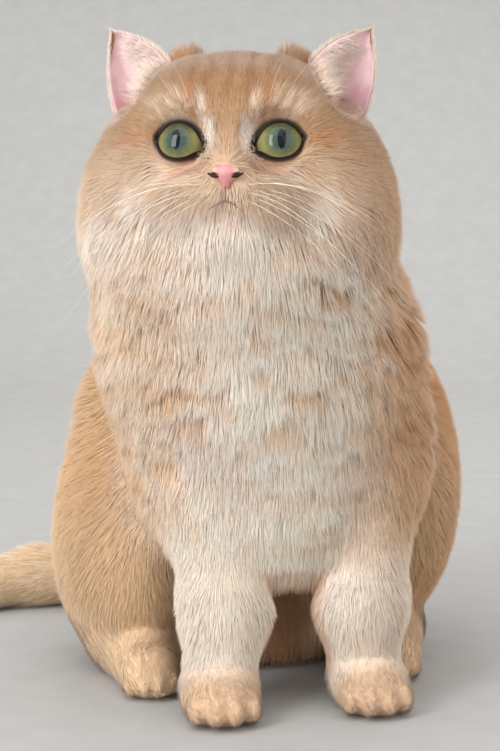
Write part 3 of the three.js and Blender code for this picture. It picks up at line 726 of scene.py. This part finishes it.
def make_skin():
    points, quads = surface_nets(skin_field, *SKIN_BOX, SKIN_STEP)
    points = settled(skin_field, points, 2)
    normals = gradient(cat, points)
    # the skin's tint carries painted shade under the coat
    skin = mesh_object("skin", to_frame(points), quads, coat_tint(points, normals) * PAINTED_SHADE_UNDER_COAT)
    bpy.context.view_layer.objects.active = skin
    skin.select_set(True)
    bpy.ops.object.mode_set(mode="EDIT")
    bpy.ops.mesh.select_all(action="SELECT")
    bpy.ops.uv.smart_project(angle_limit=math.radians(66), island_margin=0.002)
    bpy.ops.object.mode_set(mode="OBJECT")
    skin.select_set(False)
    skin.data.uv_layers[0].name = "OFBake"
    uv = np.zeros(len(quads) * 8, np.float32)
    skin.data.uv_layers[0].data.foreach_get("uv", uv)
    finish_piece(skin, SKIN, "golden_coat", *FLESH)
    return points, quads, uv.reshape(-1, 4, 2)


# Where the coat grows and how it lies
def combed(p, normal):
    """The lie of the coat, along the surface."""
    b, h, part = to_body(p), to_head(p), share(p)
    n = normal @ BODY_AXES
    from_nose = unit(h - HAIR_CROWN)
    fall = np.array([0.0, 0.0, -1.0]) * smooth(0, -50, h[..., 2])[..., None]
    for side in (1, -1):
        q, out = eye_axes(h, side)
        away = unit((q * [1.0, 0.0, 1.0]) @ gaze(side).T, 1e-6)
        fall = fall + away * (2.2 * smooth(2.3, 1.1, out) * (h[..., 1] < -30))[..., None]
    from_ear = unit((folded(h) - EAR_HOLLOW) * vectors(np.sign(h[..., 0]), 0, 1), 1e-6)
    fall = fall + from_ear * (1.6 * ear_rim(h))[..., None]
    on_head = (from_nose + 1.1 * fall) @ HEAD_AXES.T
    down = vectors(0.14 * b[..., 0] / 80, -0.05, -1)
    back = vectors(0.1 * np.sign(b[..., 0]), 0.8, -0.55)
    front = smooth(0.15, -0.35, n[..., 1]) * smooth(40, -10, b[..., 1])
    on_trunk = mix(back, down, front) @ BODY_AXES.T
    low, paw = smooth(70, 20, b[..., 2]), smooth(34, 12, b[..., 2])
    on_hind = mix(np.array([0.0, 0.45, -0.9]), np.array([0.0, -0.8, -0.35]), low) @ BODY_AXES.T
    on_fore = mix(np.array([0.0, 0.05, -1.0]), np.array([0.0, -0.9, -0.4]), paw) @ BODY_AXES.T
    spine = np.array([point for point, _ in TAIL], float)
    near = np.exp(-np.linalg.norm(p[..., None, :] - (spine[:-1] + spine[1:]) / 2, axis=-1) / 9)
    on_tail = unit(near @ (spine[1:] - spine[:-1]))
    part = {name: amount[..., None] for name, amount in part.items()}
    lie = by_part(part, on_head, on_trunk, on_fore, on_hind, on_tail)
    lie -= normal * np.einsum("...i,...i->...", lie, normal)[..., None]
    return unit(lie, 1e-6)


def hair_length(p):
    b, h, part = to_body(p), to_head(p), share(p)
    bib = smooth(0, -60, b[..., 1]) * smooth(60, 100, b[..., 2])
    face = facewards(h)
    nose = np.linalg.norm(h - NOSE_AT, axis=-1)
    mouth = np.abs(h[..., 2] + 31) + 0.3 * np.abs(h[..., 0]) + 2 * (h[..., 1] > -40)
    on_head = 14.0 - 7.5 * face
    on_head = on_head * (0.35 + 0.65 * smooth(8, 34, nose)) * (1 - 0.55 * eye_rim(h))
    on_head = on_head * (1 - 0.5 * smooth(6, 1, mouth)) * (1 - 0.6 * ear_rim(h))
    on_fore = 14.0 - 8.5 * smooth(50, 16, b[..., 2])
    on_hind = 15.0 - 6.0 * smooth(60, 30, b[..., 2])
    return by_part(part, on_head, 17.0 + 11.0 * bib, on_fore, on_hind, 13.0)


def bare(p):
    """True where no coat grows: in the eyes, on the nose and under the soles."""
    h = to_head(p)
    closed = p[..., 2] < 1.5
    for side in (1, -1):
        q, out = eye_axes(h, side)
        closed |= (out < 1.18) & (q[..., 1] < 3) & (np.linalg.norm(q, axis=-1) < 30)
    return closed | (nose_field(h) < 0.5) | (in_ear(p) > 0.5)


def nose_field(h):
    wings = limb(h, (-4.0, -69.5, -14.4), (4.0, -69.5, -14.4), 3.2, 3.2)
    return blend(wings, limb(h, (0, -71, -14.5), (0, -68, -20.5), 3.4, 1.7), 3)


# The coat: thin tapered tufts in clumps, each a closed solid
REGIONS = {
    "coat_face": 44000, "coat_head": 46000, "coat_bib": 47000, "coat_chest": 47000, "coat_back": 44000,
    "coat_thigh_left": 29000, "coat_thigh_right": 29000, "coat_fore": 28000, "coat_feet": 20000,
    "coat_tail": 18000,
}
RING = np.radians([90, 210, 330])
CONE_FACES = np.array([(0, 2, 1), (0, 1, 3), (1, 2, 3), (2, 0, 3)])


def cones(low, tips, across, third, width):
    """Closed three-sided cones, one from each low place to its tip: their corners and faces."""
    corners = np.empty((len(tips), 4, 3))
    for i, angle in enumerate(RING):
        corners[:, i] = low + (across * math.cos(angle) + third * math.sin(angle)) * width[:, None] / 2
    corners[:, 3] = tips
    return corners, (CONE_FACES + 4 * np.arange(len(tips))[:, None, None]).reshape(-1, 3)


BIB_FOOT = 172


def region_of(p):
    """Which of REGIONS each place of the skin belongs to; a later place in the list wins."""
    b, h, part = to_body(p), to_head(p), share(p)
    names = list(REGIONS)
    shares = [part["head"], part["trunk"] + part["neck"], part["hind"], part["fore"], part["tail"]]
    main = np.argmax(shares, 0)
    front = (main == 1) & (b[:, 1] < -5)
    feet = ((main == 3) & (b[:, 2] < 34)) | ((main == 2) & (b[:, 2] < 40) & (b[:, 1] < 16))
    places = {
        "coat_head": main == 0, "coat_face": (main == 0) & (facewards(h) > 0.35),
        "coat_bib": front & (b[:, 2] >= BIB_FOOT), "coat_chest": front & (b[:, 2] < BIB_FOOT),
        "coat_thigh_left": (main == 2) & (b[:, 0] > 0), "coat_thigh_right": (main == 2) & (b[:, 0] <= 0),
        "coat_fore": main == 3, "coat_feet": feet, "coat_tail": main == 4,
    }
    region = np.full(len(p), names.index("coat_back"))
    for name, place in places.items():
        region[place] = names.index(name)
    return region


def scattered(points, quads, uv, count, draw):
    """Even random roots on a set of faces, with their place on the unwrap."""
    a, b, c, d = (points[quads[:, i]] for i in range(4))
    first = np.linalg.norm(np.cross(b - a, c - a), axis=1)
    second = np.linalg.norm(np.cross(c - a, d - a), axis=1)
    area = np.concatenate([first, second])
    chosen = draw.choice(len(area), count, p=area / area.sum())
    face, corner = chosen % len(quads), 1 + chosen // len(quads)
    u, v = draw.random(count), draw.random(count)
    over = u + v > 1
    u, v = np.where(over, 1 - u, u)[:, None], np.where(over, 1 - v, v)[:, None]

    def pick(table):
        return table[face, 0] * (1 - u - v) + table[face, corner] * u + table[face, corner + 1] * v

    return pick(points[quads]), pick(uv)


def grouped(roots, each, stretch, draw):
    """The clump each root belongs to, and the clumps' middles."""
    centres = roots[draw.choice(len(roots), max(8, len(roots) // each), replace=False)]
    tree = KDTree(len(centres))
    for i, centre in enumerate(centres / stretch):
        tree.insert(centre, i)
    tree.balance()
    return np.array([tree.find(root)[1] for root in roots / stretch]), centres


LOCK_HAIRS, CLUMP_HAIRS = 270, 20
LOCK_STRETCH, CLUMP_STRETCH = (2.3, 2.3, 1.0), (1.0, 1.0, 1.0)
ROOT_SUNK, ROOT_LOWEST, TIP_LOWEST = 0.6, 0.35, 0.5
WISPS = 0.05  # the share of single long hairs
PATCH = 0.0015  # a tuft's reach on the unwrap


def make_tufts(name, points, quads, uv, count, seed):
    """One piece of the coat. Roots gather in clumps, and on the bib in locks that end in a crest."""
    draw = np.random.default_rng(seed)
    roots, places = scattered(points, quads, uv, count, draw)
    keep = ~bare(roots)
    roots, places = roots[keep], places[keep]
    count = len(roots)
    normal, depth = gradient(outline, roots), coat_depth(roots)
    lie = combed(roots, normal)
    lie += np.cross(normal, lie) * (0.2 * STREAKS(roots) + draw.normal(0, 0.09, count))[:, None]
    lie = unit(lie)
    length = hair_length(roots) * draw.uniform(0.7, 1.15, count)

    lock, middles = grouped(roots, LOCK_HAIRS, LOCK_STRETCH, draw)
    offset = roots - middles[lock]
    ahead = np.einsum("ij,ij->i", offset, lie)
    aside = np.linalg.norm(offset - ahead[:, None] * lie, axis=1)
    crest = np.clip(16 - ahead - 0.03 * aside ** 2 + draw.normal(0, 1.6, count), 9, 30)
    bold = draw.random(len(middles))[lock]
    tiled = smooth(21, 25, hair_length(roots)) * (0.3 + 0.6 * bold)
    length = length + (crest - length) * tiled
    ahead = np.clip(ahead / 6, -1, 1)
    long_hair = smooth(10, 22, length)
    rise = depth * (draw.uniform(0.8, 1.08, count) + 0.16 * ahead * long_hair)
    wisp = (draw.random(count) < WISPS) * (1 - facewards(to_head(roots)))
    crown = smooth(44, 58, to_head(roots)[:, 2])
    bump = crown * spot(to_head(roots), (27, 0, 62), (11, 26, 20))
    rise += 2.2 * wisp * long_hair + (1.2 * crown + 0.8 * bump) * draw.random(count)
    relief = 2.4 * tiled * bold * smooth(-0.2, 1.0, ahead)
    rise += relief
    run = np.sqrt(np.maximum(length ** 2 - rise ** 2, (0.5 * length) ** 2))
    tips = roots + lie * run[:, None] + normal * rise[:, None]
    clump, centres = grouped(roots, CLUMP_HAIRS, CLUMP_STRETCH, draw)
    number = np.bincount(clump, minlength=len(centres)) + 1e-9
    middle = np.stack([np.bincount(clump, tips[:, i], len(centres)) / number for i in range(3)], -1)
    tips += (middle[clump] - tips) * ((0.1 + 0.14 * tiled) * smooth(5, 16, length))[:, None]
    loose = 0.08 * length + 1.6 * wisp + 1.8 * crown + 0.8 * bump + relief
    tips -= gradient(outline, tips) * np.maximum(outline(tips) - loose, 0)[:, None]
    tips[:, 2] = np.maximum(tips[:, 2], TIP_LOWEST)

    across = unit(np.cross(normal, tips - roots), 1e-9)
    width = (0.34 + 0.016 * length) * draw.uniform(0.75, 1.3, count)
    verts, faces = cones(roots - normal * ROOT_SUNK, tips, across, normal * 0.7, width)
    verts[:, :, 2] = np.maximum(verts[:, :, 2], ROOT_LOWEST)

    base = coat_tint(roots, normal)
    shade = draw.normal(1.0, 0.035, count) * draw.normal(1.0, 0.02, len(centres))[clump]
    # painted shade under each lock's overhang: hair at the top of a lock darkened towards brown
    under = smooth(0.2, -0.9, ahead) * long_hair * (0.15 + 0.85 * bold * tiled)
    # painted shade: short hair on the legs and feet darkened to match the self-shadowed longer coat
    short_hair_shade = smooth(12, 6, hair_length(roots)) * (1 - share(roots)["head"])
    base = mix(base, base * [0.86, 0.72, 0.55], under) * (shade * (1 - 0.14 * short_hair_shade))[:, None]
    pale = smooth(0.45, 0.8, base[:, 1])
    root = base * mix(np.array([0.96, 0.89, 0.81]), np.array([1.0, 0.94, 0.88]), pale)
    # painted shade in the partings between locks: the roots darkened
    parting_shade = smooth(0.4, -0.5, ahead) * tiled * (0.35 + 0.65 * bold)
    root *= mix(np.ones(3), np.array([0.7, 0.5, 0.34]), parting_shade)
    tint = np.stack([root] * 3 + [np.minimum(base * 1.08, 0.97)], 1)
    star = np.concatenate([np.stack([np.cos(RING), np.sin(RING)], -1) * PATCH, np.zeros((1, 2))])
    patch = places[:, None, :] + star[None]
    top = smooth(0.1, 0.8, normal[:, 2]) * share(roots)["head"]
    soft = unit(normal + lie * (0.6 * top)[:, None] + draw.normal(0, 0.08, (count, 3)))
    tuft = mesh_object(name, to_frame(verts.reshape(-1, 3)), faces, np.clip(tint, 0, 1).reshape(-1, 3),
                       patch.reshape(-1, 2), np.repeat(soft, 4, axis=0))
    pale = name in ("coat_bib", "coat_chest", "coat_fore")
    finish_piece(tuft, HAIR, "cream_coat" if pale else "golden_coat")


def make_coat(points, quads, uv):
    region = region_of(points[quads].mean(1))
    thin = 1.0
    for i, (name, count) in enumerate(REGIONS.items()):
        mine = region == i
        make_tufts(name, points, quads[mine], uv[mine], int(count * thin), 100 + i)


# The eyes
IRIS_RIM = linear(52, 48, 30)
IRIS_OUTER = linear(130, 126, 78)
IRIS_MIDDLE = linear(96, 104, 74)
IRIS_INNER = linear(62, 78, 72)
PUPIL = linear(5, 7, 16)


def eye_tint(q):
    """Colours by direction from the eye's middle, in the eye's own axes."""
    angle = np.degrees(np.arccos(np.clip(-q[:, 1], -1, 1)))
    turn = np.arctan2(q[:, 2], q[:, 0])
    fibres = 0.5 + 0.5 * np.sin(turn * 46 + 3 * np.sin(turn * 7)) * np.sin(turn * 31 + 1.3)
    colour = mix(IRIS_INNER, IRIS_MIDDLE, smooth(20, 34, angle + 4 * fibres))
    colour = mix(colour, IRIS_OUTER, smooth(33, 46, angle + 4 * fibres))
    colour = mix(colour, IRIS_RIM, smooth(64, 74, angle))
    # painted shadow of the upper lid: the iris darker towards the top
    colour = colour * ((0.9 + 0.2 * fibres) * (1 - 0.62 * smooth(0.1, 0.6, q[:, 2])))[:, None]
    slit = np.sqrt((q[:, 0] / 0.17) ** 2 + (q[:, 2] / 0.38) ** 2) + 10 * (q[:, 1] > 0)
    return mix(PUPIL, colour, smooth(0.92, 1.1, slit))


def make_eye(name):
    side = SIDES[name]
    angles = np.concatenate([np.linspace(0.8, 66, 60), np.linspace(70, 176, 22)])
    turns, rings = np.radians(np.arange(0, 360, 3)), []
    for angle in np.radians(angles):
        bulge = 1 + 0.035 * smooth(50, 20, np.degrees(angle))
        ring = vectors(np.cos(turns) * math.sin(angle), -math.cos(angle), np.sin(turns) * math.sin(angle))
        rings.append(ring * bulge)
    points, faces = lofted(rings, [0, -1.035, 0], [0, 1.0, 0])
    tint = eye_tint(unit(points))
    turn = Matrix.Rotation(math.radians(PUPIL_TURN[side]), 3, "Z")
    look = np.array(turn @ Matrix.Rotation(-math.radians(EYE_LIFT), 3, "X"))
    placed = from_head((points * EYE_RADIUS) @ look.T + eye_place(side))
    eye = mesh_object("eye_ball_" + name, to_frame(placed), outward(points, faces), tint)
    finish_piece(eye, EYE, "eye", "eye_" + name)


def lid_outline(turns):
    """The opening's edge, across and up, with a point at each corner; the nose is on the left."""
    wide, tall = EYE_OPENING
    inner = np.maximum(-np.cos(turns), 0) ** 14
    outer = np.maximum(np.cos(turns), 0) ** 20
    return np.stack([wide * np.cos(turns) * (1 + 0.2 * inner + 0.1 * outer),
                     tall * np.sin(turns) - 1.8 * inner + 0.5 * outer], -1)


LID_DARK = linear(24, 15, 13)
# The lid's rows from the eye outwards: scale of the opening, lift off the skin, and share of fur colour
LID_ROWS = (
    (0.985, 0.1, 0.0), (1.02, 0.55, 0.0), (1.08, 0.75, 0.0),
    (1.17, 0.6, 0.1), (1.27, 0.45, 0.75), (1.42, 0.2, 1.0),
)


def lid_depth(flat, side):
    """How far ahead of the eye's middle the lid lies, at places across and up."""
    far, near = np.full(len(flat), 26.0), np.zeros(len(flat))
    for _ in range(26):
        ahead = (far + near) / 2
        world = from_head(vectors(flat[:, 0], -ahead, flat[:, 1]) @ gaze(side).T + eye_place(side))
        outside = outline(world) + coat_depth(world) > 0
        far, near = np.where(outside, ahead, far), np.where(outside, near, ahead)
    cover = np.sqrt(np.maximum((EYE_RADIUS + 0.1) ** 2 - (flat ** 2).sum(1), 0))
    return np.maximum((far + near) / 2, cover)


def make_lids():
    parts, tints = [], []
    for side in SIDES.values():
        turns = np.radians(np.arange(0, 360, 5))
        edge = lid_outline(turns)
        edge[:, 0] *= side
        thick = 1 + 0.5 * np.maximum(np.sin(turns), 0) + 0.6 * np.maximum(-np.cos(turns), 0) ** 6
        rows = []
        for scale, lift, _ in LID_ROWS:
            flat = edge * (1 + (scale - 1) * thick)[:, None]
            rows.append(vectors(flat[:, 0], -lid_depth(flat, side) - lift, flat[:, 1]))
        rows += [row + [0, 1.4, 0] for row in rows[::-1]]
        rings = from_head(np.transpose(np.array(rows), (1, 0, 2)) @ gaze(side).T + eye_place(side))
        count, around = rings.shape[:2]
        a = np.arange(count * around).reshape(count, around)
        b, d = np.roll(a, -1, 1), np.roll(a, -1, 0)
        c = np.roll(b, -1, 0)
        faces = np.moveaxis(np.array([[a, b, c], [a, c, d]]), 1, -1).reshape(-1, 3)
        points = rings.reshape(-1, 3)
        parts.append((points, faces))
        fur = np.tile([fur for *_, fur in LID_ROWS + LID_ROWS[::-1]], count)
        # the furred rows take the same painted shade under the coat as the skin
        furred = coat_tint(points, gradient(cat, points)) * PAINTED_SHADE_UNDER_COAT
        tints.append(mix(LID_DARK, furred, fur))
    points, faces = gathered(parts)
    lids = mesh_object("eyelids", to_frame(points), faces, np.concatenate(tints))
    finish_piece(lids, LID_SKIN, "nose_leather")


# The nose and mouth
NOSE_PINK = linear(212, 142, 142)
NOSE_DARK = linear(44, 24, 26)


def nostril_field(h):
    return limb(folded(h), (3.3, -75.5, -16.4), (9.0, -69, -15.2), 0.7, 1.0)


def make_nose():
    def field(h):
        return np.maximum(nose_field(h), -nostril_field(h))

    points, quads = surface_nets(field, (-12, -79, -26), (12, -61, -7), 0.4)
    furred = smooth(3.6, 6.0, np.abs(points[:, 0])) * smooth(-17, -14, points[:, 2])
    tint = mix(NOSE_PINK, APRICOT * 0.85, furred)
    tint = mix(tint, NOSE_DARK, smooth(1.3, 0.2, nostril_field(points)))
    nose = mesh_object("nose_leather", to_frame(from_head(points)), quads, tint)
    finish_piece(nose, NOSE_LEATHER, "nose_leather", "nose")


def front_of_face(x, z):
    """Where a line straight towards the face meets the coat's outline or the nose, in the head's axes."""
    near, far = -95.0, -20.0
    for _ in range(30):
        y = (near + far) / 2
        place = np.array([x, y, z])
        if min(cat(from_head(place)), nose_field(place)) > 0:
            near = y
        else:
            far = y
    return np.array([x, (near + far) / 2, z])


def strand(path, radius, sides=6):
    """A round tapered thread along a row of points."""
    path = np.asarray(path, float)
    along = unit(np.gradient(path, axis=0))
    across = unit(np.cross(along, [0.31, 0.2, 0.93]))
    third = np.cross(along, across)
    radii = (radius * np.ones(len(path)))[:, None, None]
    turns = np.linspace(0, 2 * math.pi, sides, endpoint=False)[:, None]
    rings = path[:, None] + radii * (np.cos(turns) * across[:, None] + np.sin(turns) * third[:, None])
    return lofted(rings, path[0], path[-1])


MOUTH_DARK = linear(138, 92, 88)


def make_mouth():
    """The mouth's two arcs, the groove up to the nose and the dark slits beside it."""
    parts, tints = [], []

    def drawn(path, radius, colour):
        points, faces = strand(np.array(path) + [0, 0.15, 0], radius)
        parts.append((from_head(points), faces))
        tints.append(np.broadcast_to(colour, points.shape))

    t = np.linspace(0, 1, 14)
    for side in SIDES.values():
        arc = [front_of_face(side * 9.5 * step, -28.5 - 5.5 * step ** 1.3) for step in t]
        drawn(arc, 0.45 * (1 - 0.95 * t), MOUTH_DARK)
        slit = [front_of_face(side * (3.2 + 6.0 * step), -16.6 + 2.2 * step ** 2) for step in t]
        drawn(slit, 0.2 + 0.75 * np.sin(math.pi * (0.12 + 0.88 * t)), NOSE_DARK)
    drawn([front_of_face(0, z) for z in np.linspace(-21, -29, 10)], 0.4, MOUTH_DARK)
    points, faces = gathered(parts)
    mouth = mesh_object("mouth_line", to_frame(points), faces, np.concatenate(tints))
    finish_piece(mouth, LID_SKIN, "nose_leather")


# The ears
EAR = {"inner": (39, -4, 57), "outer": (68, 2, 30), "tip": (71, 0, 76), "cup": 15, "bulge": 4, "wall": 2.4}


def ear_point(side, u, v, layer):
    inner, outer, tip = (np.array(EAR[key], float) for key in ("inner", "outer", "tip"))
    foot = inner + (outer - inner) * (u + 1) / 2
    slope = unit(outer - inner)
    point = foot + (tip - foot) * v + slope * EAR["bulge"] * math.sin(math.pi * min(v, 1)) * u
    wall = EAR["wall"] * (1 - 0.5 * v) * layer
    point[1] += EAR["cup"] * (1 - u * u) * math.sqrt(max(1 - v, 0)) + wall
    point[0] = (point[0] - wall * 0.3) * side
    return point


def make_ear(name):
    side = SIDES[name]
    across, along = 22, 26
    rings = []
    for v in np.linspace(-0.35, 0.985, along):
        front = [ear_point(side, u, v, 0) for u in np.linspace(-1, 1, across)]
        back = [ear_point(side, u, v, 1) for u in np.linspace(1, -1, across)]
        rings.append(front + back)
    points, faces = lofted(rings, ear_point(side, 0, -0.35, 0.5), ear_point(side, 0, 1, 0.5))
    layer = np.concatenate([[0.5], np.tile(np.repeat([0.0, 1.0], across), along), [0.5]])
    low = smooth(60, 36, points[:, 2])
    rose = np.clip(low * 0.7 + 0.25 * STREAKS(points * 2), 0, 1)
    tint = mix(mix(EAR_PINK, EAR_ROSE, rose), GOLD, layer)
    ear = mesh_object("ear_cup_" + name, to_frame(from_head(points)), outward(points, faces), tint)
    finish_piece(ear, EAR_SKIN, "ear_skin", "ear_" + name)


def blade_set(name, roots, tips, width, tint, seed):
    """Many thin closed hairs from roots to tips, in the cat's axes."""
    draw = np.random.default_rng(seed)
    across = unit(np.cross(tips - roots, draw.normal(size=roots.shape)))
    verts, faces = cones(roots, tips, across, unit(np.cross(tips - roots, across)), width)
    colours = np.repeat(tint * draw.uniform(0.9, 1.1, (len(roots), 1)), 4, axis=0)
    hairs = mesh_object(name, to_frame(verts.reshape(-1, 3)), faces, np.clip(colours, 0, 1))
    finish_piece(hairs, HAIR, "golden_coat")


def make_ear_hair(name, seed):
    """Short hair on the ear's back and edge, and long pale hair in its cup and at its foot."""
    side = SIDES[name]
    draw = np.random.default_rng(seed)
    hairs = []
    for _ in range(2600):
        u, v = draw.uniform(-1.0, 1.0), draw.uniform(-0.1, 0.97)
        root, up = ear_point(side, u, v, 1), ear_point(side, u, min(v + 0.1, 0.999), 1)
        out = np.array([-0.25 * side, 0.9, 0.25])
        tip = root + (unit(up - root, 1e-6) * draw.uniform(4, 7) + out * 1.6) * (1.1 - 0.6 * v)
        hairs.append((root - out * 0.4, tip, mix(GOLD, GOLD_DEEP, draw.uniform(0, 0.8)), 0.7))
    for _ in range(420):
        u, v = draw.uniform(-1.0, -0.3), draw.uniform(-0.2, 0.7)
        root = ear_point(side, u, v, 0)
        reach = draw.uniform(9, 19) * (1 - 0.6 * v)
        way = np.array([side * draw.uniform(0.5, 1.0), -0.35, draw.uniform(-0.5, 0.7) - 0.6 * v])
        hairs.append((root + [0, 0.5, 0], root + unit(way) * reach, WHITE, 0.3))
    rim = [front_of_face(side * (41 + 7 * t), 52 - 22 * t) for t in np.linspace(0, 1, 24)]
    for _ in range(520):
        root = rim[draw.integers(len(rim))] + draw.normal(0, 1.2, 3) + [0, draw.uniform(2, 14), 0]
        way = np.array([side * draw.uniform(0.5, 1.0), draw.uniform(-0.3, 0.5), draw.uniform(-0.1, 0.9)])
        tip = root + unit(way) * draw.uniform(7, 16)
        hairs.append((root, tip, mix(WHITE, APRICOT, draw.uniform(0, 0.6)), 0.3))
    for _ in range(1300):
        edge, v = draw.choice([-1.0, 1.0]), draw.uniform(-0.1, 0.98)
        root = ear_point(side, edge * 0.97, v, 0.5)
        ahead = ear_point(side, edge, min(v + 0.12, 0.999), 0.5) - root
        way = unit(ahead, 1e-6) + np.array([0.45 * side * edge, draw.uniform(-0.4, 0.2), 0.1])
        tip = root + unit(way) * draw.uniform(3, 7) * (1.1 - 0.4 * v)
        hairs.append((root, tip, mix(WHITE, GOLD, draw.uniform(0, 0.6)), 0.5))
    roots, tips, tint, width = (np.array(column) for column in zip(*hairs))
    blade_set("ear_hair_" + name, from_head(roots), from_head(tips), width, tint, seed)


def make_whiskers():
    draw = np.random.default_rng(5)
    t = np.linspace(0, 1, 12)[:, None]
    parts = []
    for side in SIDES.values():
        for row in range(3):
            for column in range(3):
                root = front_of_face(side * (12 + 5.5 * column), -20.5 - 4.2 * row + 0.6 * column)
                way = np.array([side * 1.0, -0.3 + 0.2 * column, draw.uniform(-0.05, 0.1) - 0.24 * row])
                length = draw.uniform(46, 82)
                path = root + [0, 1.0, 0] + unit(way) * length * t
                path = path + np.array([0, 0.3, -0.4]) * length * t ** 2
                parts.append(strand(path, 0.1 * (1 - 0.8 * t[:, 0]), 5))
        for i in range(3):
            root = front_of_face(side * (21 + 4 * i), 25 + i)
            way = np.array([side * (0.15 + 0.15 * i), -0.5, 0.85])
            path = root + [0, 1.0, 0] + way * draw.uniform(16, 26) * t + np.array([side * 4, 0, -2]) * t ** 2
            parts.append(strand(path, 0.07 * (1 - 0.8 * t[:, 0]), 5))
    points, faces = gathered([(from_head(p), f) for p, f in parts])
    whiskers = mesh_object("whiskers", to_frame(points), faces)
    finish_piece(whiskers, WHISKER, "cream_coat")


add_camera()
light_scene()
add_stage()
skin_points, skin_quads, skin_uv = make_skin()
make_coat(skin_points, skin_quads, skin_uv)
for each in SIDES:
    make_eye(each)
    make_ear(each)
    make_ear_hair(each, 40 + int(SIDES[each]))
make_lids()
make_nose()
make_mouth()
make_whiskers()
